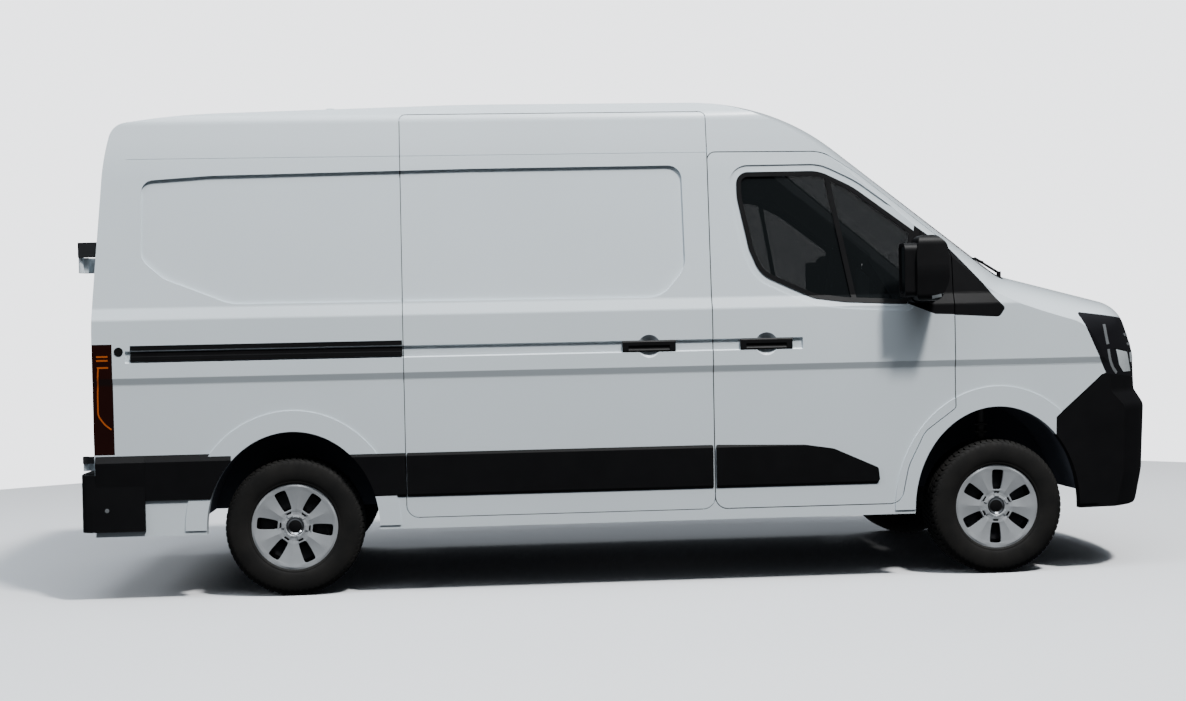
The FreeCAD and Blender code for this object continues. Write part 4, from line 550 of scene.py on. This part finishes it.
class Skin:
    """Finds points on the outside of some CAD nodes."""

    def __init__(self, *names):
        verts, faces = [], []
        for name in names:
            mesh = NODES[name].data
            first = len(verts)
            verts += [v.co.copy() for v in mesh.vertices]
            faces += [tuple(first + i for i in p.vertices) for p in mesh.polygons]
        self.tree = BVHTree.FromPolygons(verts, faces)

    def at(self, look, u, v, lift=0.0):
        """Point on the surface, lifted along its normal, and that normal; None off the surface."""
        start, ahead, place = LOOKS[look]
        found, normal, _, _ = self.tree.ray_cast(start + place(u, v), ahead)
        if found is None:
            return None
        if normal.dot(ahead) > 0:
            normal = -normal
        return found + normal * lift, normal


# A rounded corner takes at most this share of the runs beside it
CORNER_SHARE = 0.45
CORNER_STEPS = 5
TRIM_THICK = 0.003
PATH_STEP = 0.03
# Edges inside a patch are cut in two while they are longer than this many steps, in so many passes at most
LONG_EDGE = 1.6
PATCH_PASSES = 3


def dense(points, step, closed=False):
    """More points on a path of (u, v), no further apart than a step."""
    ends = list(points) + ([points[0]] if closed else [])
    result = []
    for (u0, v0), (u1, v1) in zip(ends, ends[1:]):
        count = max(1, math.ceil(math.hypot(u1 - u0, v1 - v0) / step))
        result += [(u0 + (u1 - u0) * i / count, v0 + (v1 - v0) * i / count) for i in range(count)]
    return result if closed else result + [tuple(points[-1])]


def rounded(points, radius, closed=False):
    """Path of (u, v) with its corners rounded."""
    n = len(points)
    result = []
    for i in range(n):
        p = Vector(points[i])
        if not closed and i in (0, n - 1):
            result.append(tuple(p))
            continue
        before, after = Vector(points[i - 1]), Vector(points[(i + 1) % n])
        r = min(radius, (before - p).length * CORNER_SHARE, (after - p).length * CORNER_SHARE)
        start, end = p + (before - p).normalized() * r, p + (after - p).normalized() * r
        for k in range(CORNER_STEPS + 1):
            t = k / CORNER_STEPS
            result.append(tuple(start * (1 - t) ** 2 + p * 2 * t * (1 - t) + end * t ** 2))
    return result


def ribbon(solid, skin, look, path, width, lift, thick=TRIM_THICK, step=PATH_STEP):
    """Flat strip that follows a path over a surface, as far as the surface goes."""
    path = [Vector(p) for p in dense(path, step)]
    rings = []
    for i, here in enumerate(path):
        ahead = (path[min(i + 1, len(path) - 1)] - path[max(i - 1, 0)]).normalized()
        across = Vector((-ahead.y, ahead.x)) * (width / 2)
        hits = [skin.at(look, *(here + across * s), lift) for s in (-1, 1)]
        if None in hits:
            if rings:
                break
            continue
        (a, na), (b, nb) = hits
        rings.append([a - na * thick, b - nb * thick, b, a])
    if len(rings) > 1:
        solid.tube(rings)


def patch(solid, skin, look, outline, lift, thick=TRIM_THICK, step=PATH_STEP):
    """Thin plate over the area inside an outline, following a surface that has to lie under all of it."""
    flat = bmesh.new()
    flat.faces.new([flat.verts.new((u, v, 0)) for u, v in dense(outline, step, True)])
    bmesh.ops.triangulate(flat, faces=flat.faces)
    for _ in range(PATCH_PASSES):
        long_edges = [e for e in flat.edges if e.calc_length() > step * LONG_EDGE and not e.is_boundary]
        if not long_edges:
            break
        bmesh.ops.subdivide_edges(flat, edges=long_edges, cuts=1)
        bmesh.ops.triangulate(flat, faces=flat.faces)
    flat.verts.index_update()
    hits = [skin.at(look, v.co.x, v.co.y, lift) for v in flat.verts]
    if None not in hits:
        n = len(hits)
        faces = [tuple(v.index for v in f.verts) for f in flat.faces]
        back = [tuple(reversed([i + n for i in f])) for f in faces]
        walls = [(e.verts[0].index, e.verts[1].index, e.verts[1].index + n, e.verts[0].index + n)
                 for e in flat.edges if e.is_boundary]
        solid.add([p for p, _ in hits] + [p - m * thick for p, m in hits], faces + back + walls)
    flat.free()


def axle_box(solid, low, high, bevel):
    """Bevelled block whose x is given ahead of the rear axle."""
    solid.box((from_axle(low[0]), *low[1:]), (from_axle(high[0]), *high[1:]), bevel)


# Tyres

TREAD_GROOVES = (-0.062, -0.024, 0.024, 0.062)
GROOVE_HALF = 0.0045
GROOVE_FOOT = 0.7
GROOVE_DEEP = 0.008
# The tread stays just inside the CAD tyre
TREAD_R = TYRE_R - 0.0001
# Half section from the inner bead to the tread: y, radius and kind
BEAD = (
    (0.0905, 0.2065, "wall"), (0.0960, 0.2130, "wall"), (0.1000, 0.2190, "wall"), (0.1035, 0.2210, "wall"),
    (0.1050, 0.2250, "wall"), (0.1050, 0.2290, "wall"), (0.1072, 0.2330, "wall"), (0.1100, 0.2460, "wall"),
)
FLANK = (
    (0.1125, 0.2620, "wall"), (0.1128, 0.2800, "wall"), (0.1118, 0.2960, "wall"), (0.1095, 0.3100, "wall"),
    (0.1062, 0.3215, "wall"), (0.1045, 0.3235, "rib"), (0.1005, 0.3310, "rib"), (0.0955, 0.3372, "edge"),
    (0.0900, 0.3412, "edge"), (0.0840, 0.3436, "edge"), (0.0760, 0.3446, "edge"), (0.0700, 0.3449, "edge"),
)
PITCHES = 68
# Columns of one pitch: its share of the pitch, and whether the blocks are cut there
PITCH_COLUMNS = ((0.0, False), (0.05, True), (0.24, True), (0.30, False), (0.65, False))
CUT_DEEP = {"edge": 0.0075, "rib": 0.0022, "block": 0.0030}
# The tread slants back on both sides of its middle line, and the shoulders are turned as far as its edges
SLANT = 0.5
SLANT_POWER = 0.8
EDGE_TURN = 0.060
TYRE_ANGLE = 28.0


def tyre_profile():
    """Section points (y, radius, kind) from one bead over the tread to the other bead."""
    side = BEAD + FLANK
    top = []
    for y in reversed(TREAD_GROOVES):
        foot = GROOVE_HALF * GROOVE_FOOT
        top += [(y + GROOVE_HALF, TREAD_R, "block"), (y + foot, TYRE_R - GROOVE_DEEP, "groove"),
                (y - foot, TYRE_R - GROOVE_DEEP, "groove"), (y - GROOVE_HALF, TREAD_R, "block")]
    return [*side, *top, *((-y, r, kind) for y, r, kind in reversed(side))]


def make_tyre(centre):
    """Tyre with a grooved tread and a cut in the blocks and shoulders to each pitch."""
    profile = tyre_profile()
    pitch = 2 * math.pi / PITCHES
    rings = []
    for i in range(PITCHES):
        for share, cut in PITCH_COLUMNS:
            angle = (i + share) * pitch
            ring = []
            for y, r, kind in profile:
                turn = angle
                if cut:
                    r -= CUT_DEEP.get(kind, 0.0)
                if kind in ("block", "groove"):
                    turn += math.copysign(abs(y) ** SLANT_POWER * SLANT, y)
                elif kind == "edge":
                    turn += math.copysign(EDGE_TURN, y)
                ring.append((centre[0] + r * math.sin(turn), centre[1] + y, centre[2] + r * math.cos(turn)))
            rings.append(ring)
    solid = Solid()
    solid.tube(rings, closed=True)
    return solid


# Wheels

SPOKES = 6
SPOKE_STEPS = 8
SLOT_STEPS = 6
# Direction of the first slot, in degrees from straight ahead
SLOT_TURN = {"front": 27.0, "rear": -7.0}
# Cover: how far out its face is, how deep its edges are, the angle above which an edge is sharp, and by
# radius the half width of a slot and the height of the face
COVER_Y = 0.093
COVER_THICK = 0.012
COVER_ANGLE = 9.0
SLOT_HALF = ((0.0870, 0.0120), (0.0885, 0.0170), (0.0930, 0.0205), (0.1050, 0.0235), (0.1300, 0.0270),
             (0.1600, 0.0295), (0.1800, 0.0300), (0.1860, 0.0285), (0.1890, 0.0250), (0.1900, 0.0200))
COVER_FORM = ((0.0440, -0.0120), (0.0450, -0.0050), (0.0480, -0.0035), (0.0600, -0.0062), (0.0720, -0.0072),
              (0.0870, -0.0062), (0.1050, -0.0052), (0.1400, -0.0026), (0.1800, 0.0010), (0.1900, 0.0020),
              (0.2040, 0.0036), (0.2120, 0.0042), (0.2175, 0.0030), (0.2205, -0.0020))
EXTRA_ROWS = (0.125, 0.155)
# Ridge along the middle of each spoke: its height, the radii that it runs between, and the lengths in which
# it rises and ends
CREASE = 0.0045
CREASE_FROM, CREASE_RISE = 0.060, 0.03
CREASE_TO, CREASE_END = 0.212, 0.006
# Plates on the cover at each slot: radius, half width and height at both ends, then thickness
# The notch plate is near black: painted shade in the groove between the two steps
NOTCH_SHADE = ((0.0690, 0.0110, -0.0066), (0.0770, 0.0135, -0.0062), 0.0015)
# The step plates are lighter than the cover: a painted highlight on their raised faces
OUTER_STEP = ((0.0780, 0.0150, -0.0060), (0.0830, 0.0165, -0.0052), 0.0025)
INNER_STEP = ((0.0520, 0.0120, -0.0040), (0.0660, 0.0150, -0.0060), 0.0030)
# Turned forms: radius, and distance out along the axle
WHEEL_FORM = ((0.220, -0.097), (0.220, -0.089), (0.2057, -0.089), (0.2057, 0.089), (0.220, 0.089),
              (0.220, 0.0935), (0.198, 0.0935), (0.198, 0.040), (0.172, 0.056), (0.110, 0.056),
              (0.092, 0.046), (0.0, 0.044), (0.0, 0.030), (0.094, 0.030), (0.118, 0.046), (0.168, 0.046),
              (0.198, 0.026), (0.198, 0.010), (0.180, -0.002), (0.180, -0.049), (0.198, -0.061),
              (0.198, -0.097))
HUB_FORM = ((0.0, 0.044), (0.048, 0.044), (0.048, 0.074), (0.0, 0.076))
RING_FORM = ((0.0445, 0.0760), (0.0445, 0.0880), (0.0400, 0.0890), (0.0320, 0.0840), (0.0300, 0.0760))
CAP_FORM = ((0.0, 0.0700), (0.0315, 0.0700), (0.0315, 0.0820), (0.0260, 0.0842), (0.0, 0.0850))
WHEEL_STEPS, HUB_STEPS, RING_STEPS, CAP_STEPS = 96, 32, 48, 40
WHEEL_ANGLE = 30.0


def along(table, r):
    """Value at r on straight lines between the table's points, held at its ends."""
    if r <= table[0][0]:
        return table[0][1]
    for (r0, v0), (r1, v1) in zip(table, table[1:]):
        if r <= r1:
            return v0 + (v1 - v0) * (r - r0) / (r1 - r0)
    return table[-1][1]


def cover_columns(r, turn):
    """Angles round the cover at a radius, each with a share: 0 at a spoke's middle, 1 at its sides.

    The share is None at a slot.
    """
    half = math.asin(along(SLOT_HALF, r) / r)
    gap = 2 * math.pi / SPOKES - 2 * half
    columns = []
    for k in range(SPOKES):
        middle = math.radians(turn + 360.0 / SPOKES * k)
        columns += [(middle - half + 2 * half * i / SLOT_STEPS, None) for i in range(SLOT_STEPS)]
        columns += [(middle + half + gap * i / SPOKE_STEPS, abs(2 * i / SPOKE_STEPS - 1))
                    for i in range(SPOKE_STEPS)]
    return columns


def make_cover(name, centre, sign, turn, body):
    """Silver six-spoke cover with its slots cut through."""
    rows = sorted({r for r, _ in COVER_FORM + SLOT_HALF} | set(EXTRA_ROWS))
    edit = bmesh.new()
    grid = []
    for r in rows:
        row = []
        for angle, share in cover_columns(r, turn):
            y = COVER_Y + along(COVER_FORM, r)
            if share is not None and CREASE_FROM < r < CREASE_TO:
                ends = min(1.0, (r - CREASE_FROM) / CREASE_RISE, (CREASE_TO - r) / CREASE_END)
                y += CREASE * (1 - share) * ends
            row.append(edit.verts.new((centre[0] + r * math.cos(angle), centre[1] + sign * y,
                                       centre[2] + r * math.sin(angle))))
        grid.append(row)
    count = len(grid[0])
    low, high = SLOT_HALF[0][0], SLOT_HALF[-1][0]
    for i in range(len(rows) - 1):
        for k in range(count):
            in_slot = k % (SPOKE_STEPS + SLOT_STEPS) < SLOT_STEPS
            if in_slot and rows[i] >= low and rows[i + 1] <= high:
                continue
            m = (k + 1) % count
            edit.faces.new((grid[i][k], grid[i][m], grid[i + 1][m], grid[i + 1][k]))
    edges = [e for e in edit.edges if e.is_boundary]
    for made in bmesh.ops.extrude_edge_only(edit, edges=edges)["geom"]:
        if isinstance(made, bmesh.types.BMVert):
            made.co.y -= sign * COVER_THICK
    mesh = bpy.data.meshes.new(name)
    finish_piece(name, mesh, edit, "wheel_silver", body, COVER_ANGLE)


def cover_plate(solid, face, radial, across, out, plate):
    """Small plate on the cover's face, in line with a slot."""
    first, last, thick = plate
    rings = []
    for r, half, y in (first, last):
        corners = ((-half, y), (half, y), (half, y + thick), (-half, y + thick))
        rings.append([face + radial * r + across * s + out * height for s, height in corners])
    solid.tube(rings)


def make_wheel(axle, hand, x, sign):
    """Dark steel wheel, silver cover, hub ring and centre cap of one wheel."""
    node = "rim_{}_{}".format(axle, hand)
    body = BODY_OF[node]
    centre = Vector((x, sign * TRACK[axle] / 2, TYRE_R))
    out = Vector((0, sign, 0))
    steel = Solid()
    steel.turned(WHEEL_FORM, centre, out, WHEEL_STEPS)
    steel.turned(HUB_FORM, centre, out, HUB_STEPS)
    wheel = steel.piece("wheel_" + node, "wheel_steel", body, "wheel_silver", WHEEL_ANGLE)
    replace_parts(wheel, node)
    make_cover("cover_" + node, centre, sign, SLOT_TURN[axle], body)

    ring, steps, notch_shades, cap = Solid(), Solid(), Solid(), Solid()
    ring.turned(RING_FORM, centre, out, RING_STEPS)
    face = centre + out * COVER_Y
    for k in range(SPOKES):
        angle = math.radians(SLOT_TURN[axle] + 360.0 / SPOKES * k)
        radial = Vector((math.cos(angle), 0, math.sin(angle)))
        across = Vector((-math.sin(angle), 0, math.cos(angle)))
        for solid, plate in ((notch_shades, NOTCH_SHADE), (steps, OUTER_STEP), (steps, INNER_STEP)):
            cover_plate(solid, face, radial, across, out, plate)
    cap.turned(CAP_FORM, centre, out, CAP_STEPS)
    # The near-black notch plates are painted shade in the grooves between the steps
    parts = ((ring, "hub_ring_", "chrome"), (steps, "cover_steps_highlight_", "cover_light"),
             (notch_shades, "cover_notch_shade_", "seam_dark"), (cap, "hub_cap_", "black_plastic"))
    for solid, name, material in parts:
        solid.piece(name + node, material, body, "wheel_silver", SMALL_ANGLE)


def make_wheels():
    """Four wheels with their tyres."""
    for axle, x in AXLES:
        for hand, sign in reversed(SIDES):
            make_wheel(axle, hand, x, sign)
            node = "tyre_{}_{}".format(axle, hand)
            solid = make_tyre((x, sign * TRACK[axle] / 2, TYRE_R))
            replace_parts(solid.piece("tread_" + node, "tyre", BODY_OF[node], "tyre", TYRE_ANGLE), node)


# Seams

# Gaps in the side view: upright ones by x ahead of the rear axle, level ones by z
GAP_FRONT = 3.3635
GAP_MIDDLE = 2.116
GAP_REAR = 0.5595
DOOR_LOW = 0.3785
DOOR_HIGH = 2.2005
SLIDE_HIGH = 2.4045
SIDE_GAPS = (
    ((GAP_MIDDLE, 0.46), (GAP_MIDDLE, 2.19)),
    ((GAP_FRONT, 0.87), (GAP_FRONT, 1.33)),
    ((2.19, DOOR_LOW), (3.00, DOOR_LOW)),
    ((2.16, DOOR_HIGH), (2.66, DOOR_HIGH)),
)
SLIDING_GAPS = (
    ((GAP_REAR, 0.44), (GAP_REAR, 2.372)),
    ((0.62, DOOR_LOW), (2.05, DOOR_LOW)),
    ((0.60, SLIDE_HIGH), (2.08, SLIDE_HIGH)),
    ((GAP_MIDDLE, 2.22), (GAP_MIDDLE, 2.372)),
)
# Section of the strips in the gaps, how far each side of a gap its two surfaces are looked for, and how far
# apart they may be
SEAM_WIDE = 0.0040
SEAM_THICK = 0.002
SEAM_DEEP = 0.0015
SEAM_REACH = 0.009
SEAM_SPAN = 0.027
SEAM_STEP = 0.05


def gap_strip(solid, skin, look, path):
    """Dark strip that lies in a gap, just under the surfaces on its two sides."""
    path = [Vector(p) for p in dense(path, SEAM_STEP)]
    rings = []
    for i, here in enumerate(path):
        ahead = (path[min(i + 1, len(path) - 1)] - path[max(i - 1, 0)]).normalized()
        across = Vector((-ahead.y, ahead.x))
        hits = [skin.at(look, *(here + across * s)) for s in (-SEAM_REACH, SEAM_REACH)]
        if None in hits or (hits[0][0] - hits[1][0]).length > SEAM_SPAN:
            if len(rings) > 1:
                solid.tube(rings)
            rings = []
            continue
        (a, na), (b, nb) = hits
        middle = (a + b) / 2
        normal = (na + nb).normalized()
        side = (b - a).normalized() * (SEAM_WIDE / 2)
        top, low = middle - normal * SEAM_DEEP, middle - normal * (SEAM_DEEP + SEAM_THICK)
        rings.append([low - side, low + side, top + side, top - side])
    if len(rings) > 1:
        solid.tube(rings)


def make_seams():
    """Rubber lips that show dark in the gaps round the doors."""
    for side, _ in SIDES:
        nodes = ["front_wings", "roof", "side_wall_" + side, "front_door_" + side, "cab_side_" + side]
        gaps = SIDE_GAPS
        if side == "right":
            nodes.append("sliding_door")
            gaps += SLIDING_GAPS
        skin = Skin(*nodes)
        strip = Solid()
        for path in gaps:
            gap_strip(strip, skin, side, side_path(path))
        strip.piece("gap_seals_" + side, "seam_dark", BODY, "black_plastic")


# Lamps

# In the side view, by x ahead of the rear axle and z
HEAD_BAR = ((4.187, 1.272), (4.190, 1.215), (4.196, 1.168))
HEAD_CURVE = ((4.197, 1.143), (4.203, 1.088), (4.222, 1.045), (4.262, 1.004), (4.300, 0.988))
HEAD_EDGE = ((4.236, 1.147), (4.345, 1.132))
HEAD_LENS = ((4.252, 1.140), (4.345, 1.124), (4.362, 1.060), (4.374, 1.022), (4.302, 1.022), (4.270, 1.060))
TAIL_LINE = ((-0.931, 1.157), (-0.938, 1.030), (-0.939, 0.925), (-0.905, 0.878), (-0.876, 0.856))
TAIL_STEPS = (((-0.939, 1.215), (-0.884, 1.215)), ((-0.939, 1.196), (-0.884, 1.196)),
              ((-0.936, 1.161), (-0.882, 1.161)))
# In the front and rear views, by distance from the van's middle and z
HEAD_FRONT_BARS = (((0.66, 1.215), (0.80, 1.215)), ((0.66, 1.165), (0.80, 1.165)))
HEAD_FRONT_LENS = ((0.62, 1.075), (0.79, 1.070), (0.79, 1.120), (0.62, 1.125))
TAIL_FIELD = ((0.985, 0.78), (1.014, 0.78), (1.016, 1.02), (0.985, 1.02))
TAIL_BARS = (((0.982, 1.06), (1.014, 1.06)), ((0.982, 1.10), (1.014, 1.10)), ((0.982, 1.14), (1.014, 1.14)))
# Steps of the smaller forms
LENS_STEP = 0.012
TAIL_STEP = 0.015
LAMP_ANGLE = 30.0


def make_headlamps():
    """Grey bars, running light and lens behind the dark glass, from the side and the front."""
    skin = Skin("headlamps")
    for side, sign in SIDES:
        grey, bright, dark = Solid(), Solid(), Solid()
        ribbon(grey, skin, side, rounded(side_path(HEAD_BAR), radius=0.02), width=0.019, lift=0.0012)
        ribbon(grey, skin, side, rounded(side_path(HEAD_CURVE), radius=0.03), width=0.017, lift=0.0012)
        patch(bright, skin, side, side_path(HEAD_LENS), lift=0.0014, step=LENS_STEP)
        ribbon(dark, skin, side, side_path(HEAD_EDGE), width=0.004, lift=0.0016)
        for bar in HEAD_FRONT_BARS:
            ribbon(grey, skin, "front", across_path(bar, sign), width=0.014, lift=0.0012)
        patch(bright, skin, "front", across_path(HEAD_FRONT_LENS, sign), lift=0.0014, step=LENS_STEP)
        grey.piece("headlamp_bars_" + side, "lamp_grey", BODY, "lamp", LAMP_ANGLE)
        bright.piece("headlamp_lens_" + side, "lamp_light", BODY, "lamp", LAMP_ANGLE)
        dark.piece("headlamp_edge_" + side, "seam_dark", BODY, "lamp", LAMP_ANGLE)


def make_tail_lamps():
    """Amber line with its steps and a red field in the dark tail lamps."""
    skin = Skin("tail_lamps")
    for side, sign in SIDES:
        amber, red = Solid(), Solid()
        line = rounded(side_path(TAIL_LINE), radius=0.02)
        ribbon(amber, skin, side, line, width=0.007, lift=0.0010, step=TAIL_STEP)
        for step in TAIL_STEPS:
            ribbon(amber, skin, side, side_path(step), width=0.008, lift=0.0010, step=TAIL_STEP)
        patch(red, skin, "rear", across_path(TAIL_FIELD, sign), lift=0.0010, step=TAIL_STEP)
        for bar in TAIL_BARS:
            ribbon(amber, skin, "rear", across_path(bar, sign), width=0.012, lift=0.0010, step=TAIL_STEP)
        amber.piece("tail_lamp_lines_" + side, "lamp_amber", BODY, "tail_lamp", LAMP_ANGLE)
        red.piece("tail_lamp_field_" + side, "lamp_red", BODY, "tail_lamp", LAMP_ANGLE)


# Mirrors

# The glass in the rear view, and the turn indicator in the side view
MIRROR_PANE = ((1.110, 1.452), (1.196, 1.448), (1.200, 1.680), (1.108, 1.680))
MIRROR_SPLIT = ((1.110, 1.520), (1.197, 1.518))
MIRROR_LAMP = ((3.196, 1.425), (3.252, 1.436))


def make_mirrors():
    """Reflecting glass in two fields and a small turn indicator on each mirror."""
    for side, sign in SIDES:
        node = "door_trim_" + side
        skin = Skin(node)
        pane, split, lamp = Solid(), Solid(), Solid()
        outline = rounded(across_path(MIRROR_PANE, sign), radius=0.02, closed=True)
        patch(pane, skin, "rear", outline, lift=0.0015)
        ribbon(split, skin, "rear", across_path(MIRROR_SPLIT, sign), width=0.004, lift=0.0022)
        ribbon(lamp, skin, side, side_path(MIRROR_LAMP), width=0.014, lift=0.0010, step=0.01)
        parts = ((pane, "mirror_glass_", "mirror_glass"), (split, "mirror_split_", "seam_dark"),
                 (lamp, "mirror_lamp_", "lamp_light"))
        for solid, name, material in parts:
            solid.piece(name + side, material, BODY_OF[node], "black_plastic", LAMP_ANGLE)


# Front doors' insides

# Blocks on a door's inner face: x ahead of the rear axle, depth in from that face, z, and bevel
DOOR_INSIDE = 0.966
DOOR_CARD = ((2.200, 3.020), (0.0, 0.012), (0.60, 1.31), 0.006)
ARM_REST = ((2.420, 2.900), (0.0, 0.055), (1.085, 1.125), 0.014)
DOOR_POCKET = ((2.360, 2.960), (0.0, 0.055), (0.640, 0.780), 0.014)
DOOR_PULL = ((2.700, 2.800), (0.010, 0.026), (1.185, 1.205), 0.005)


def door_block(solid, sign, block):
    """Bevelled block on the inner face of a front door."""
    (x0, x1), depths, (z0, z1), bevel = block
    y0, y1 = sorted(sign * DOOR_INSIDE - sign * depth for depth in depths)
    axle_box(solid, (x0, y0, z0), (x1, y1, z1), bevel)


def make_door_insides():
    """Card, arm rest, pocket and pull on the inside of each front door."""
    for side, sign in SIDES:
        body = BODY_OF["front_door_" + side]
        card, rest, pull = Solid(), Solid(), Solid()
        for solid, block in ((card, DOOR_CARD), (rest, ARM_REST), (rest, DOOR_POCKET), (pull, DOOR_PULL)):
            door_block(solid, sign, block)
        card.piece("door_card_" + side, "trim_dark", body, "trim_dark")
        rest.piece("door_rest_" + side, "black_plastic", body, "trim_dark")
        pull.piece("door_pull_" + side, "chrome", body, "trim_dark")


# Rear

# Handle on the right rear door: its cup by distance from the van's middle and z, and its grip by how far it
# stops short of the cup's ends, stands off the door and reaches up and down
PULL_FROM, PULL_TO, PULL_Z = 0.045, 0.205, 1.075
CUP_HALF = 0.035
GRIP_INSET = 0.012
GRIP_X = (-0.022, -0.004)
GRIP_Z = (-0.012, 0.018)
GRIP_BEVEL = 0.006
# In the rear view
BRAKE_LAMP = ((-0.14, 2.362), (0.14, 2.362))
REFLECTOR = ((0.62, 0.575), (0.76, 0.575))
# Parking sensors: form (radius, height), place at the bumper's ends, and places across its back
PARK_FORM = ((0.0, -0.002), (0.011, -0.002), (0.0105, 0.0008), (0.0, 0.0012))
PARK_END = (-0.906, 0.457)
PARK_BACK = ((-0.78, 0.47), (-0.28, 0.47), (0.28, 0.47), (0.78, 0.47))
PARK_STEPS = 20


def make_rear_handle():
    """Grip over a shallow cup on the right rear door; the cup is a flat black patch of painted shade."""
    skin = Skin("rear_door_right", "rear_door_left")
    body = BODY_OF["rear_door_right"]
    grip, cup_shade = Solid(), Solid()
    low, high = PULL_Z - CUP_HALF, PULL_Z + CUP_HALF
    outline = [(-PULL_FROM, low), (-PULL_TO, low), (-PULL_TO, high), (-PULL_FROM, high)]
    # Flat black patch on the door: painted shade of the cup's hollow
    patch(cup_shade, skin, "rear", rounded(outline, radius=0.02, closed=True), lift=0.001, step=0.02)
    found = skin.at("rear", -(PULL_FROM + PULL_TO) / 2, PULL_Z)
    if found:
        x = found[0].x
        grip.box((x + GRIP_X[0], -PULL_TO + GRIP_INSET, PULL_Z + GRIP_Z[0]),
                 (x + GRIP_X[1], -PULL_FROM - GRIP_INSET, PULL_Z + GRIP_Z[1]), GRIP_BEVEL)
    grip.piece("rear_handle", "black_plastic", body, "black_plastic")
    cup_shade.piece("rear_handle_cup_shade", "black_plastic", body, "black_plastic")


def make_rear_trim():
    """High brake lamp, reflectors and parking sensors."""
    brake = Solid()
    roof = Skin("roof", "rear_frame")
    ribbon(brake, roof, "rear", BRAKE_LAMP, width=0.030, lift=0.002, thick=0.006, step=0.02)
    brake.piece("high_brake_lamp", "lamp_red", BODY, "tail_lamp")
    bumper = Skin("rear_bumper")
    for side, sign in SIDES:
        reflector = Solid()
        ribbon(reflector, bumper, "rear", across_path(REFLECTOR, sign), width=0.030, lift=0.001, step=0.02)
        # The reflectors glow like the red lamps: painted light, as a reflector is no lamp
        reflector.piece("rear_reflector_" + side, "lamp_red", BODY, "black_plastic")
    sensors = Solid()
    spots = [(side, *side_path([PARK_END])[0]) for side, _ in SIDES] + [("rear", *spot) for spot in PARK_BACK]
    for look, u, v in spots:
        hit = bumper.at(look, u, v)
        if hit:
            sensors.turned(PARK_FORM, *hit, PARK_STEPS)
    sensors.piece("rear_sensors", "lamp_grey", BODY, "black_plastic")


# Cabin

# Screen and its rim: low and high corners with x ahead of the rear axle, and bevel
SCREEN_RIM = ((2.886, -0.150, 1.190), (2.925, 0.150, 1.350), 0.008)
SCREEN = ((2.8835, -0.136, 1.206), (2.8900, 0.136, 1.336), 0.002)
# Air vents and glove box on the dashboard, seen from the seats, by y and z
VENT_MIDDLES = (-0.80, -0.30, 0.24, 0.80)
VENT_HALF = 0.065
VENT_LOW, VENT_HIGH = 1.205, 1.285
SLAT_HALF = 0.055
SLAT_HEIGHTS = (1.225, 1.245, 1.265)
GLOVE_BOX = (((-0.74, 1.13), (-0.30, 1.13)), ((-0.74, 0.93), (-0.30, 0.93)))
# Gear lever: x ahead of the rear axle, y and z
LEVER = ((2.945, 0.03, 1.03), (2.905, 0.03, 1.055), (2.865, 0.03, 1.085))
LEVER_R = 0.009
KNOB_AT = (2.872, 0.03, 1.078)
KNOB_AXIS = (-0.80, 0, 0.60)
KNOB_FORM = ((0.0, -0.002), (0.020, 0.0), (0.026, 0.018), (0.022, 0.040), (0.0, 0.048))
KNOB_STEPS = 24


def make_cabin():
    """Screen, air vents, glove box lines and gear lever at the dashboard."""
    screen, rim, vents, slats, lever = Solid(), Solid(), Solid(), Solid(), Solid()
    axle_box(rim, *SCREEN_RIM)
    axle_box(screen, *SCREEN)
    skin = Skin("dashboard")
    for y in VENT_MIDDLES:
        outline = [(y - VENT_HALF, VENT_LOW), (y + VENT_HALF, VENT_LOW),
                   (y + VENT_HALF, VENT_HIGH), (y - VENT_HALF, VENT_HIGH)]
        patch(vents, skin, "rear", rounded(outline, radius=0.012, closed=True), lift=0.002, thick=0.004)
        for z in SLAT_HEIGHTS:
            ribbon(slats, skin, "rear", [(y - SLAT_HALF, z), (y + SLAT_HALF, z)], width=0.006, lift=0.006,
                   thick=0.005)
    for line in GLOVE_BOX:
        ribbon(slats, skin, "rear", line, width=0.004, lift=0.001, thick=0.002)
    lever.rod([(from_axle(x), y, z) for x, y, z in LEVER], LEVER_R)
    lever.turned(KNOB_FORM, (from_axle(KNOB_AT[0]), *KNOB_AT[1:]), KNOB_AXIS, KNOB_STEPS)
    rim.piece("screen_rim", "black_plastic", BODY, "trim_dark")
    screen.piece("screen", "lamp", BODY, "trim_dark")
    vents.piece("air_vents", "seam_dark", BODY, "trim_dark")
    slats.piece("vent_slats", "lamp_grey", BODY, "trim_dark")
    lever.piece("gear_lever", "black_plastic", BODY, "trim_dark")


make_camera()
make_lights()
MATERIALS = make_materials()
make_floor()
dress_nodes()
make_wheels()
make_seams()
make_headlamps()
make_tail_lamps()
make_mirrors()
make_door_insides()
make_rear_handle()
make_rear_trim()
make_cabin()
